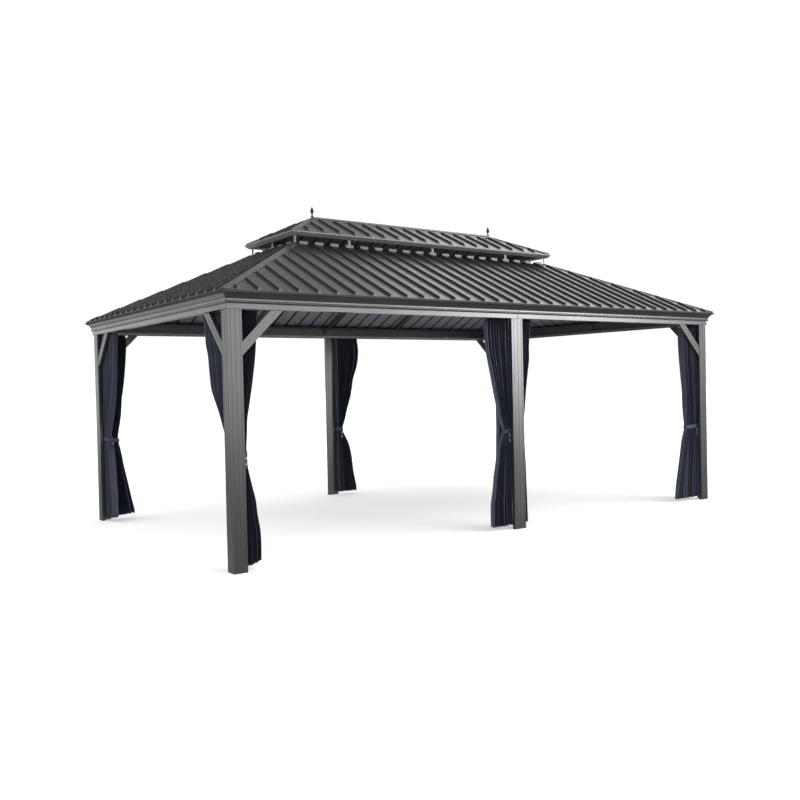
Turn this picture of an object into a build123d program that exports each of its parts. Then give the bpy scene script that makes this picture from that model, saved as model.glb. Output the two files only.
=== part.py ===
from build123d import *
import math
import os

# A rectangular hard-top gazebo: six fluted posts, a flared cornice beam round the top, a lower
# hipped roof of ribbed sheets, and a small second roof raised over its open top.
# Millimetres. The origin is the centre of the plan on the ground, +X runs along the long front,
# +Y goes to the rear and +Z is up. Insets are measured in plan from the lip of the cornice.

# The whole
eave_length = 5980.0
eave_width = 3600.0
beam_underside = 1985.0
roof_rise = 0.471
fit = 0.3
mitre_gap = 0.6
overshoot = 200.0
butt_gap = 3.0

# Cornice beam, a hollow extrusion
beam_height = 135.0
beam_face_inset = 58.0
beam_inner_inset = 115.0
beam_wall = 3.0
fascia_height = 32.0
groove_height = 8.0
groove_depth = 6.0
bead_height = 22.0
bead_inset = 45.0
flare_inset = 50.0
flare_middle = (33.0, 97.0)
flare_top = 117.0
lip_overhang = 6.0
lip_height = 14.0
ledge_height = 62.0
ledge_depth = 4.0

# Posts: angle section at the corners, flat box in the middle of the long sides
post_inset = 70.0
post_flange = 114.0
post_thickness = 34.0
middle_post_width = 138.0
post_wall = 4.0
flute_count = 3
flute_width = 12.0
flute_depth = 2.2
foot_plate = 8.0
head_plate = 4.0

# Knee braces at the corner posts
brace_leg = 351.0
brace_depth = 72.0
brace_thickness = 26.0
brace_groove_width = 9.0
brace_groove_depth = 2.0
brace_groove_count = 2

# Curtain rail inside the beams
rail_gap = 6.0
rail_width = 20.0
rail_height = 22.0
rail_wall = 2.5
rail_slot = 7.0
rail_lift = 5.0
bracket_length = 40.0
bracket_spacing = 900.0

# Plates on the inner face that join the two halves of each beam
splice_length = 180.0
splice_height = 84.0
splice_thickness = 8.0
splice_gap = 4.0

# Ribbed roof sheets: the ribs stop short of every edge and are closed at their ends
sheet_thickness = 2.0
rib_height = 19.0
rib_base = 29.0
rib_top = 15.0
lower_rib_pitch = 173.0
upper_rib_pitch = 176.0
rib_closure = 3.0
rib_hip_gap = 70.0
rib_lower_eave = 9.0
rib_ring_gap = 8.0
rib_upper_eave = 46.0
rib_ridge_gap = 73.0
eave_setback = 6.0
hip_gap = 5.0

# Lower roof carcass
ring_width = 30.0
ring_height = 60.0
tab_height = 26.0
tab_thickness = 2.5
tab_width = 92.0
rafter_width = 30.0
rafter_height = 50.0
hip_rafter_width = 40.0
hip_rafter_height = 60.0
pans_between_rafters = 6

# Upper roof
upper_width = 1030.0
upper_overhang = 50.0
trim_sheet = 2.5
trim_lip = 11.0
trim_flare = 27.0
trim_drop = 38.0
trim_leg_drop = 6.0
upper_frame_width = 30.0
upper_frame_height = 40.0
ridge_bar_width = 30.0
ridge_bar_height = 40.0
upper_hip_width = 26.0
upper_hip_height = 28.0

# Struts between the two roofs
strut_height = 94.0
strut_width = 28.0
strut_thickness = 5.0
corner_strut_flange = 17.0

# Hip and ridge caps: folded edges, two wings and a raised roll in the middle
cap_half_width = 44.0
ridge_half_width = 66.0
cap_thickness = 2.5
cap_lift = 3.5
cap_roll_width = 24.0
ridge_roll_width = 30.0
cap_roll_height = 12.0
ridge_roll_height = 20.0

# Finials: radius and height up the profile, and flat sides round it
finial_profile = ((14, 0), (14, 5), (5, 13), (5, 27), (14, 38), (18, 56), (12, 80), (1, 104))
finial_sides = 12

# Curtains: room to both sides of the rail, and height and reach from the post down the free edge
curtain_outer_room = 15.0
curtain_inner_room = 50.0
curtain_hem_z = 35.0
curtain_edges = {
    "front_left_front": (150, ((1640, 127), (1260, 66), (960, 36), (830, 42), (650, 80), (180, 145)), 143),
    "front_left_end": (450, ((1660, 386), (1380, 300), (1190, 181), (930, 60), (760, 110), (400, 170)), 190),
    "front_middle_left": (275, ((1640, 250), (1270, 163), (990, 85), (920, 59), (760, 139), (390, 199)), 235),
    "front_middle_right": (150, ((1740, 122), (1400, 86), (1000, 48), (860, 42), (600, 60)), 75),
    "front_right_front": (
        248,
        ((1640, 243), (1360, 216), (970, 204), (820, 192), (690, 233), (360, 313)),
        375,
    ),
    "front_right_end": (300, ((1640, 280), (1200, 220), (860, 190), (650, 230)), 280),
    "rear_left_rear": (200, ((1660, 174), (1280, 141), (960, 99), (850, 94), (580, 142), (240, 220)), 262),
    "rear_left_end": (390, ((1640, 350), (1260, 240), (930, 120), (760, 160), (400, 210)), 230),
    "rear_middle_right": (
        310,
        ((1770, 312), (1640, 285), (1260, 180), (940, 83), (840, 50), (680, 121)),
        232,
    ),
    "rear_right_rear": (90, ((1640, 80), (1260, 60), (900, 40), (700, 70)), 90),
    "rear_right_end": (420, ((1660, 370), (1380, 290), (1190, 190), (930, 70), (760, 120), (400, 180)), 200),
}

# Values worked out from the sizes above
beam_top = beam_underside + beam_height
slope_angle = math.atan(roof_rise)
slope_cos = math.cos(slope_angle)
sheet_drop = sheet_thickness / slope_cos
eave_pan_z = beam_top + fit + sheet_drop - roof_rise * eave_setback
hip_fall = roof_rise / math.sqrt(2)
ring_inset = (eave_width - upper_width) / 2 + upper_overhang
ring_top = eave_pan_z + roof_rise * ring_inset
frame_underside = ring_top + strut_height + 2 * fit
upper_length = eave_length - 2 * (ring_inset - upper_overhang)
upper_eave_z = frame_underside + upper_frame_height + fit + sheet_drop - roof_rise * upper_overhang
ridge_end = (upper_length - upper_width) / 2
ridge_pan_z = upper_eave_z + roof_rise * upper_width / 2
rafter_spacing = pans_between_rafters * lower_rib_pitch
rail_underside = beam_underside + rail_lift
rail_inset = beam_inner_inset + rail_gap + rail_width / 2
far = 10000.0

SIDE_TURNS = {"front": 0, "right": 90, "rear": 180, "left": 270}


def side_run(side, length, width):
    """Run of one side of a rectangle and the depth of the rectangle behind it."""
    return (width, length) if side in ("left", "right") else (length, width)


def turn_to(side, shape):
    """Turn a shape made for the front round to its own side."""
    return Rot(0, 0, SIDE_TURNS[side]) * shape


def flat_face(plane, points):
    """Face with straight edges through points given in a plane."""
    return plane * make_face(Polyline(*points, close=True))


def prism(points, low, high):
    """Upright prism over a plan outline."""
    return extrude(flat_face(Plane.XY.offset(low), points), amount=high - low)


def box_between(x_range, y_range, z_range):
    """Box that spans three ranges."""
    corner_low = (x_range[0], y_range[0], z_range[0])
    size = [high - low for low, high in (x_range, y_range, z_range)]
    return Pos(*corner_low) * Box(*size, align=(Align.MIN, Align.MIN, Align.MIN))


def band(run, depth, inset, width, gap=mitre_gap):
    """Plan outline of one side of a mitred rectangle, between two insets."""
    half = run / 2 - gap
    front = -depth / 2
    outer = half - inset
    inner = half - inset - width
    return [
        (-outer, front + inset),
        (outer, front + inset),
        (inner, front + inset + width),
        (-inner, front + inset + width),
    ]


def write(name, *solids):
    """Write the solids of one node."""
    shape = solids[0] if len(solids) == 1 else Compound(children=list(solids))
    export_step(shape, f"parts/{name}.step")


# Cornice beams

def cornice_section(plane):
    """Section of the beam: fascia, groove, bead, concave flare, lip and inner ledge, hollow inside."""
    groove_top = fascia_height + groove_height
    bead_top = groove_top + bead_height
    lip_bottom = beam_height - lip_height
    ledge_inset = beam_inner_inset - ledge_depth
    outline = [
        Line((beam_face_inset, 0), (beam_face_inset, fascia_height)),
        Line((beam_face_inset, fascia_height), (beam_face_inset + groove_depth, fascia_height)),
        Line((beam_face_inset + groove_depth, fascia_height), (beam_face_inset + groove_depth, groove_top)),
        Line((beam_face_inset + groove_depth, groove_top), (beam_face_inset, groove_top)),
        ThreePointArc(
            (beam_face_inset, groove_top),
            (bead_inset, groove_top + bead_height / 2),
            (flare_inset, bead_top),
        ),
        ThreePointArc(
            (flare_inset, bead_top),
            flare_middle,
            (lip_overhang, flare_top),
        ),
        Line((lip_overhang, flare_top), (lip_overhang, lip_bottom)),
        Line((lip_overhang, lip_bottom), (0, lip_bottom)),
        Line((0, lip_bottom), (0, beam_height)),
        Line((0, beam_height), (ledge_inset, beam_height)),
        Line((ledge_inset, beam_height), (ledge_inset, ledge_height)),
        Line((ledge_inset, ledge_height), (beam_inner_inset, ledge_height)),
        Line((beam_inner_inset, ledge_height), (beam_inner_inset, 0)),
        Line((beam_inner_inset, 0), (beam_face_inset, 0)),
    ]
    hollow_face = beam_face_inset + groove_depth + beam_wall
    hollow_lip = lip_overhang + 3 * beam_wall
    hollow = Polyline(
        (hollow_face, beam_wall),
        (hollow_face, bead_top),
        (flare_inset, bead_top + 3 * beam_wall),
        (flare_middle[0] + 2 * beam_wall, flare_top - beam_wall),
        (hollow_lip, beam_height - 2 * beam_wall),
        (hollow_lip, beam_height - beam_wall),
        (ledge_inset - beam_wall, beam_height - beam_wall),
        (ledge_inset - beam_wall, ledge_height - beam_wall),
        (beam_inner_inset - beam_wall, ledge_height - beam_wall),
        (beam_inner_inset - beam_wall, beam_wall),
        close=True,
    )
    return plane * (make_face(outline) - make_face(hollow))


def beam_half(side):
    """Half of the beam on one side, from its left corner to the butt joint in the middle."""
    run, depth = side_run(side, eave_length, eave_width)
    start = Plane(origin=(-run / 2, -depth / 2, beam_underside), x_dir=(0, 1, 0), z_dir=(1, 0, 0))
    bar = extrude(cornice_section(start), amount=(run - butt_gap) / 2)
    mitre = prism(band(run, depth, 0, beam_inner_inset), beam_underside, beam_top)
    return bar & mitre


def beams():
    """Both halves of the beam on each side, named by where they lie."""
    names = {
        "front": ("front_beam_left", "front_beam_right"),
        "right": ("right_beam_front", "right_beam_rear"),
        "rear": ("rear_beam_right", "rear_beam_left"),
        "left": ("left_beam_rear", "left_beam_front"),
    }
    pieces = {}
    for side, (first, second) in names.items():
        half = beam_half(side)
        pieces[first] = turn_to(side, half)
        pieces[second] = turn_to(side, mirror(half, about=Plane.YZ))
    return pieces


# Posts

def fluted_run(start, length):
    """Points along a straight face with evenly spaced flutes: distance and depth."""
    pitch = length / flute_count
    points = []
    for index in range(flute_count):
        centre = start + pitch * (index + 0.5)
        points += [
            (centre - flute_width / 2, 0),
            (centre - flute_width / 2 + flute_depth, flute_depth),
            (centre + flute_width / 2 - flute_depth, flute_depth),
            (centre + flute_width / 2, 0),
        ]
    return points


def angle_outline(inner):
    """Outline of the corner post with its outer corner on the origin; inner moves it inwards."""
    reach = post_flange - inner
    thickness = post_thickness - inner
    return [
        (inner, inner),
        (reach, inner),
        (reach, thickness),
        (thickness, thickness),
        (thickness, reach),
        (inner, reach),
    ]


def corner_post():
    """Front left corner post: a fluted hollow angle."""
    flutes = fluted_run(0, post_flange)
    outline = [(0, 0)] + flutes + [
        (post_flange, 0),
        (post_flange, post_thickness),
        (post_thickness, post_thickness),
        (post_thickness, post_flange),
        (0, post_flange),
    ] + [(sunk, along) for along, sunk in reversed(flutes)]
    low = foot_plate + fit
    high = beam_underside - head_plate - 2 * fit
    shaft = prism(outline, low, high) - prism(angle_outline(post_wall), low, high)
    return Pos(post_inset - eave_length / 2, post_inset - eave_width / 2, 0) * shaft


def middle_post():
    """Post in the middle of the front: a flat box that is fluted on both broad faces."""
    half = middle_post_width / 2
    flutes = fluted_run(-half, middle_post_width)
    inner_flutes = [(along, post_thickness - sunk) for along, sunk in reversed(flutes)]
    outline = [(-half, 0)] + flutes + [(half, 0)]
    outline += [(half, post_thickness)] + inner_flutes + [(-half, post_thickness)]
    inner = half - post_wall
    hollow = [
        (-inner, post_wall),
        (inner, post_wall),
        (inner, post_thickness - post_wall),
        (-inner, post_thickness - post_wall),
    ]
    low = foot_plate + fit
    high = beam_underside - head_plate - 2 * fit
    shaft = prism(outline, low, high) - prism(hollow, low, high)
    return Pos(0, post_inset - eave_width / 2, 0) * shaft


def end_plates(low, high):
    """Plates across the ends of the front left and the front middle post."""
    corner = prism(angle_outline(0), low, high)
    corner = Pos(post_inset - eave_length / 2, post_inset - eave_width / 2, 0) * corner
    half = middle_post_width / 2
    front = post_inset - eave_width / 2
    middle = box_between((-half, half), (front, front + post_thickness), (low, high))
    return corner, middle


def four_corners(shape):
    """Copies of a front left shape at all four corners."""
    right = mirror(shape, about=Plane.YZ)
    return {
        "front_left": shape,
        "front_right": right,
        "rear_left": mirror(shape, about=Plane.XZ),
        "rear_right": mirror(right, about=Plane.XZ),
    }


def brace_grooves(plane):
    """Grooves along both broad faces of a brace."""
    cut = brace_depth * math.sqrt(2)
    grooves = []
    for index in range(brace_groove_count):
        low = cut * (index + 1) / (brace_groove_count + 1) - brace_leg
        high = low + brace_groove_width * math.sqrt(2)
        strip = [(0, low), (-low, 0), (-high, 0), (0, high)]
        for start in (0, brace_thickness - brace_groove_depth):
            face = flat_face(plane.offset(start), strip)
            grooves.append(extrude(face, amount=brace_groove_depth))
    return grooves


def knee_braces():
    """The two braces of the front left post, one along each beam."""
    cut = brace_depth * math.sqrt(2)
    outline = [(0, -brace_leg), (brace_leg, 0), (brace_leg - cut, 0), (0, cut - brace_leg)]
    from_corner = post_inset + post_flange + fit
    across = post_inset + (post_thickness + brace_thickness) / 2
    along_front = Plane(
        origin=(from_corner - eave_length / 2, across - eave_width / 2, beam_underside - fit),
        x_dir=(1, 0, 0),
        z_dir=(0, -1, 0),
    )
    front = extrude(flat_face(along_front, outline), amount=brace_thickness)
    front -= brace_grooves(along_front)
    along_end = Plane(
        origin=(
            across - brace_thickness - eave_length / 2,
            from_corner - eave_width / 2,
            beam_underside - fit,
        ),
        x_dir=(0, 1, 0),
        z_dir=(1, 0, 0),
    )
    end = extrude(flat_face(along_end, outline), amount=brace_thickness)
    end -= brace_grooves(along_end)
    return front, end


# Curtain rails and the plates on the inner face of the beams

def curtain_rail(side):
    """Channel that is open downwards through a slot."""
    run, depth = side_run(side, eave_length, eave_width)
    inset = beam_inner_inset + rail_gap
    low = rail_underside
    body = prism(band(run, depth, inset, rail_width), low, low + rail_height)
    room = (rail_width - 2 * rail_wall) / 2
    centre = inset + rail_width / 2 - depth / 2
    hollow = box_between(
        (-far, far),
        (centre - room, centre + room),
        (low + rail_wall, low + rail_height - rail_wall),
    )
    slot = box_between(
        (-far, far),
        (centre - rail_slot / 2, centre + rail_slot / 2),
        (0, low + rail_height / 2),
    )
    return turn_to(side, body - hollow - slot)


def rail_brackets(side):
    """Blocks between the beam and the rail."""
    run, depth = side_run(side, eave_length, eave_width)
    count = 2 * int((run / 2 - 2 * bracket_length) / bracket_spacing)
    face = beam_inner_inset - depth / 2
    low = rail_underside
    blocks = []
    for index in range(count):
        centre = (index - (count - 1) / 2) * bracket_spacing
        blocks.append(turn_to(side, box_between(
            (centre - bracket_length / 2, centre + bracket_length / 2),
            (face + fit / 2, face + rail_gap - fit / 2),
            (low, low + rail_height),
        )))
    return blocks


def splice_plate(side):
    """Plate across the butt joint of a beam, above the rail."""
    depth = side_run(side, eave_length, eave_width)[1]
    face = beam_inner_inset - depth / 2 + fit
    low = rail_underside + rail_height + splice_gap
    return turn_to(side, box_between(
        (-splice_length / 2, splice_length / 2),
        (face, face + splice_thickness),
        (low, low + splice_height),
    ))


# Ribbed roof sheets

def rib_points(run, pitch, inward):
    """Points over evenly spaced ribs, at the outer face of the sheet or moved inwards by its thickness."""
    lean = math.atan2(rib_height, (rib_base - rib_top) / 2)
    fold = inward * math.tan(lean / 2)
    count = int((run / 2 - rib_base) / pitch)
    points = []
    for index in range(-count, count):
        centre = (index + 0.5) * pitch
        points += [
            (centre - rib_base / 2 + fold, -inward),
            (centre - rib_top / 2 + fold, rib_height - inward),
            (centre + rib_top / 2 - fold, rib_height - inward),
            (centre + rib_base / 2 - fold, -inward),
        ]
    return points


def slope_room(run, depth, low, high, gap):
    """Upright room over one slope between two insets, kept off the hips by a gap."""
    return prism(band(run, depth, low, high - low, gap=gap), 0, far)


def roof_sheet(side, length, width, pan_z, edges, pitch):
    """One slope: flat pans between raised ribs that stop short of its edges and are closed at their ends."""
    run, depth = side_run(side, length, width)
    low, high, rib_low, rib_high = edges
    high = min(high, run / 2 - 2 * hip_gap, depth / 2 - hip_gap)
    rib_high = min(rib_high, run / 2 - rib_hip_gap - 3 * rib_closure)
    closure_gap = rib_hip_gap + rib_closure * math.sqrt(2)
    whole = slope_room(run, depth, low, high, hip_gap)
    ribbed = slope_room(run, depth, rib_low, rib_high, rib_hip_gap)
    folded = slope_room(run, depth, rib_low + rib_closure, rib_high - rib_closure, closure_gap)

    up = high + overshoot
    start = Plane(
        origin=(0, up - depth / 2, pan_z + roof_rise * up),
        x_dir=(1, 0, 0),
        z_dir=(0, -slope_cos, -math.sin(slope_angle)),
    )
    reach = (up + overshoot) / slope_cos
    left, right = (-run / 2, 0), (run / 2, 0)
    under_left, under_right = (-run / 2, -sheet_thickness), (run / 2, -sheet_thickness)
    outer = rib_points(run, pitch, 0)
    inner = rib_points(run, pitch, sheet_thickness)
    flat_outline = [left, right, under_right, under_left]
    closed_outline = [left] + outer + [right, under_right, under_left]
    folded_outline = [left] + outer + [right, under_right] + inner[::-1] + [under_left]
    pan, closed, sheet = [
        extrude(flat_face(start, outline), amount=reach)
        for outline in (flat_outline, closed_outline, folded_outline)
    ]
    slope = (pan & (whole - ribbed)) + (closed & (ribbed - folded)) + (sheet & folded)
    return turn_to(side, slope)


def hip_bar(length, width, pan_z, inset, reach, outline):
    """Bar along the front left hip, from its outline across the hip line."""
    start = Plane(
        origin=(inset - length / 2, inset - width / 2, pan_z + roof_rise * inset),
        x_dir=(-1, 1, 0),
        z_dir=(1, 1, 0),
    )
    face = flat_face(start, outline)
    return extrude(face, amount=reach * math.sqrt(2 + roof_rise ** 2), dir=(1, 1, roof_rise))


def cap_outline(fall, half_width, roll_width, roll_height):
    """Folded cap: edges turned down on both slopes, two wings and a raised roll."""
    root = roll_width / 2
    wing = cap_lift + cap_thickness
    outside = [(half_width, fit), (half_width, wing), (root, wing), (root, roll_height)]
    inside = [
        (root - cap_thickness, roll_height - cap_thickness),
        (root - cap_thickness, cap_lift),
        (half_width - cap_thickness, cap_lift),
        (half_width - cap_thickness, fit),
    ]
    right_out = [(offset, height - fall * offset) for offset, height in outside]
    right_in = [(offset, height - fall * offset) for offset, height in inside]
    left_out = [(-offset, height) for offset, height in reversed(right_out)]
    left_in = [(-offset, height) for offset, height in reversed(right_in)]
    return right_out + left_out + left_in + right_in


def bar_outline(width, height, fall):
    """Rectangle that lies under both slopes."""
    top = -sheet_drop - fit - fall * width / 2
    return [(-width / 2, top - height), (width / 2, top - height), (width / 2, top), (-width / 2, top)]


def lower_hip_cap():
    """Cap over the front left hip of the lower roof."""
    outline = cap_outline(hip_fall, cap_half_width, cap_roll_width, cap_roll_height)
    bar = hip_bar(eave_length, eave_width, eave_pan_z, -overshoot, ring_inset + 2 * overshoot, outline)
    reach = ring_inset - fit
    room = [
        (-eave_length / 2 + eave_setback, -eave_width / 2 + eave_setback),
        (0, -eave_width / 2 + eave_setback),
        (0, -eave_width / 2 + reach),
        (-eave_length / 2 + reach, -eave_width / 2 + reach),
        (-eave_length / 2 + reach, 0),
        (-eave_length / 2 + eave_setback, 0),
    ]
    return bar & prism(room, 0, far)


def lower_hip_rafter():
    """Bar under the front left hip, from the top of the beams to the ring."""
    outline = bar_outline(hip_rafter_width, hip_rafter_height, hip_fall)
    bar = hip_bar(eave_length, eave_width, eave_pan_z, 0, ring_inset + overshoot, outline)
    reach = ring_inset - fit
    low = eave_setback
    room = [
        (-eave_length / 2 + low, -eave_width / 2 + low),
        (0, -eave_width / 2 + low),
        (0, -eave_width / 2 + reach),
        (-eave_length / 2 + reach, -eave_width / 2 + reach),
        (-eave_length / 2 + reach, 0),
        (-eave_length / 2 + low, 0),
    ]
    return bar & prism(room, beam_top + fit, far)


def lower_rafter(side, along):
    """Bar under one slope, square to the eave, from the top of the beam to the ring."""
    depth = side_run(side, eave_length, eave_width)[1]
    outline = [
        (0, -sheet_drop - fit - rafter_height),
        (ring_inset, roof_rise * ring_inset - sheet_drop - fit - rafter_height),
        (ring_inset, roof_rise * ring_inset - sheet_drop - fit),
        (0, -sheet_drop - fit),
    ]
    start = Plane(
        origin=(along - rafter_width / 2, -depth / 2, eave_pan_z),
        x_dir=(0, 1, 0),
        z_dir=(1, 0, 0),
    )
    bar = extrude(flat_face(start, outline), amount=rafter_width)
    room = box_between(
        (along - rafter_width, along + rafter_width),
        (eave_setback - depth / 2, ring_inset - fit - depth / 2),
        (beam_top + fit, far),
    )
    return turn_to(side, bar & room)


def ring_bar(side):
    """One side of the ring at the top of the lower slopes, with a tab behind each pan."""
    run, depth = side_run(side, eave_length, eave_width)
    bar = prism(band(run, depth, ring_inset, ring_width), ring_top - ring_height, ring_top)
    front = ring_inset - depth / 2
    count = int((run / 2 - ring_inset - tab_width / 2) / lower_rib_pitch)
    for index in range(-count, count + 1):
        start = index * lower_rib_pitch - tab_width / 2
        bar += box_between(
            (start, start + tab_width),
            (front, front + tab_thickness),
            (ring_top, ring_top + tab_height),
        )
    return turn_to(side, bar)


# Upper roof

def frame_bar(side):
    """One side of the frame under the upper eave."""
    run, depth = side_run(side, upper_length, upper_width)
    outline = band(run, depth, upper_overhang, upper_frame_width)
    return turn_to(side, prism(outline, frame_underside, frame_underside + upper_frame_height))


def upper_hip_rafter():
    """Bar under the front left hip of the upper roof."""
    outline = bar_outline(upper_hip_width, upper_hip_height, hip_fall)
    bar = hip_bar(upper_length, upper_width, upper_eave_z, 0, upper_width, outline)
    inner = upper_overhang + upper_frame_width + fit
    room = box_between(
        (inner - upper_length / 2, 0),
        (inner - upper_width / 2, -ridge_bar_width / 2 - fit),
        (0, far),
    )
    return bar & room


def ridge_bar():
    """Bar under the ridge of the upper roof."""
    half = ridge_end + upper_hip_width
    inset = upper_width / 2 - ridge_bar_width / 2 - 2 * upper_hip_width
    top = upper_eave_z + roof_rise * inset - sheet_drop
    return box_between(
        (-half, half),
        (-ridge_bar_width / 2, ridge_bar_width / 2),
        (top - ridge_bar_height, top - fit),
    )


def upper_hip_cap():
    """Cap over the front left hip of the upper roof, cut where the ridge cap begins."""
    outline = cap_outline(hip_fall, cap_half_width, cap_roll_width, cap_roll_height)
    bar = hip_bar(upper_length, upper_width, upper_eave_z, -overshoot, upper_width + overshoot, outline)
    room = box_between(
        (eave_setback - upper_length / 2, -ridge_end - fit),
        (eave_setback - upper_width / 2, -fit / 2),
        (0, far),
    )
    return bar & room


def ridge_cap():
    """Folded cap over the ridge."""
    outline = cap_outline(roof_rise, ridge_half_width, ridge_roll_width, ridge_roll_height)
    start = Plane(
        origin=(-ridge_end, 0, ridge_pan_z),
        x_dir=(0, 1, 0),
        z_dir=(1, 0, 0),
    )
    return extrude(flat_face(start, outline), amount=2 * ridge_end)


def upper_trim(side):
    """Folded edge trim of the upper eave: a lip, a face that leans in, a foot and a leg on the frame."""
    run, depth = side_run(side, upper_length, upper_width)
    back = upper_overhang - fit
    outline = [
        (0, 0),
        (0, -trim_lip),
        (trim_flare, -trim_drop),
        (back, -trim_drop),
        (back, -trim_leg_drop),
        (back - trim_sheet, -trim_leg_drop),
        (back - trim_sheet, trim_sheet - trim_drop),
        (trim_flare + trim_sheet / 2, trim_sheet - trim_drop),
        (trim_sheet, trim_sheet / 2 - trim_lip),
        (trim_sheet, 0),
    ]
    start = Plane(origin=(-run / 2, -depth / 2, upper_eave_z), x_dir=(0, 1, 0), z_dir=(1, 0, 0))
    bar = extrude(flat_face(start, outline), amount=run)
    return turn_to(side, bar & prism(band(run, depth, 0, back), 0, far))


def strut(side, along):
    """Bent flat between the ring and the upper frame, with a foot and a head flange."""
    depth = side_run(side, eave_length, eave_width)[1]
    low = ring_top + fit
    high = frame_underside - fit
    front = ring_inset + tab_thickness + fit - depth / 2
    back = ring_inset + ring_width - depth / 2
    outline = [
        (front, low),
        (back, low),
        (back, low + strut_thickness),
        (front + strut_thickness, low + strut_thickness),
        (front + strut_thickness, high - strut_thickness),
        (back, high - strut_thickness),
        (back, high),
        (front, high),
    ]
    start = Plane(origin=(along - strut_width / 2, 0, 0), x_dir=(0, 1, 0), z_dir=(1, 0, 0))
    return turn_to(side, extrude(flat_face(start, outline), amount=strut_width))


def corner_strut():
    """Angle that stands on the front left corner of the ring."""
    outline = [
        (0, 0),
        (corner_strut_flange, 0),
        (corner_strut_flange, strut_thickness),
        (strut_thickness, strut_thickness),
        (strut_thickness, corner_strut_flange),
        (0, corner_strut_flange),
    ]
    corner = ring_inset + tab_thickness + fit
    angle = prism(outline, ring_top + fit, frame_underside - fit)
    return Pos(corner - eave_length / 2, corner - eave_width / 2, 0) * angle


def finial():
    """Left finial: a flat-sided foot, a thin neck and a pointed bud."""
    levels = [Pos(0, 0, height) * RegularPolygon(radius, finial_sides) for radius, height in finial_profile]
    seat = ridge_pan_z + ridge_roll_height - roof_rise * ridge_roll_width / 2 + fit
    return Pos(-ridge_end, 0, seat) * loft(levels, ruled=True)


# Curtains

def curtain(edge, start):
    """Gathered curtain that hangs from a rail along +X and is drawn in towards its post."""
    at_rail, between, at_hem = curtain_edges[edge]
    top = rail_underside - fit
    outline = [(start, top), (start + at_rail, top)]
    outline += [(start + reach, height) for height, reach in between]
    outline += [(start + at_hem, curtain_hem_z), (start, curtain_hem_z)]
    front = Plane(origin=(0, curtain_inner_room, 0), x_dir=(1, 0, 0), z_dir=(0, -1, 0))
    return extrude(flat_face(front, outline), amount=curtain_outer_room + curtain_inner_room)


def corner_curtains(place, across_edge):
    """The two curtains of a corner post, laid out as for the front left corner."""
    edge = post_inset + post_flange
    along = Pos(-eave_length / 2, rail_inset - eave_width / 2, 0) * curtain(f"{place}_{across_edge}", edge)
    end = mirror(curtain(f"{place}_end", edge), about=Plane.XZ)
    end = Pos(rail_inset - eave_length / 2, -eave_width / 2, 0) * Rot(0, 0, 90) * end
    return Compound(children=[along, end])


def middle_curtain(edge):
    """Curtain on the right of the front middle post."""
    return Pos(0, rail_inset - eave_width / 2, 0) * curtain(edge, middle_post_width / 2)


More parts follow.
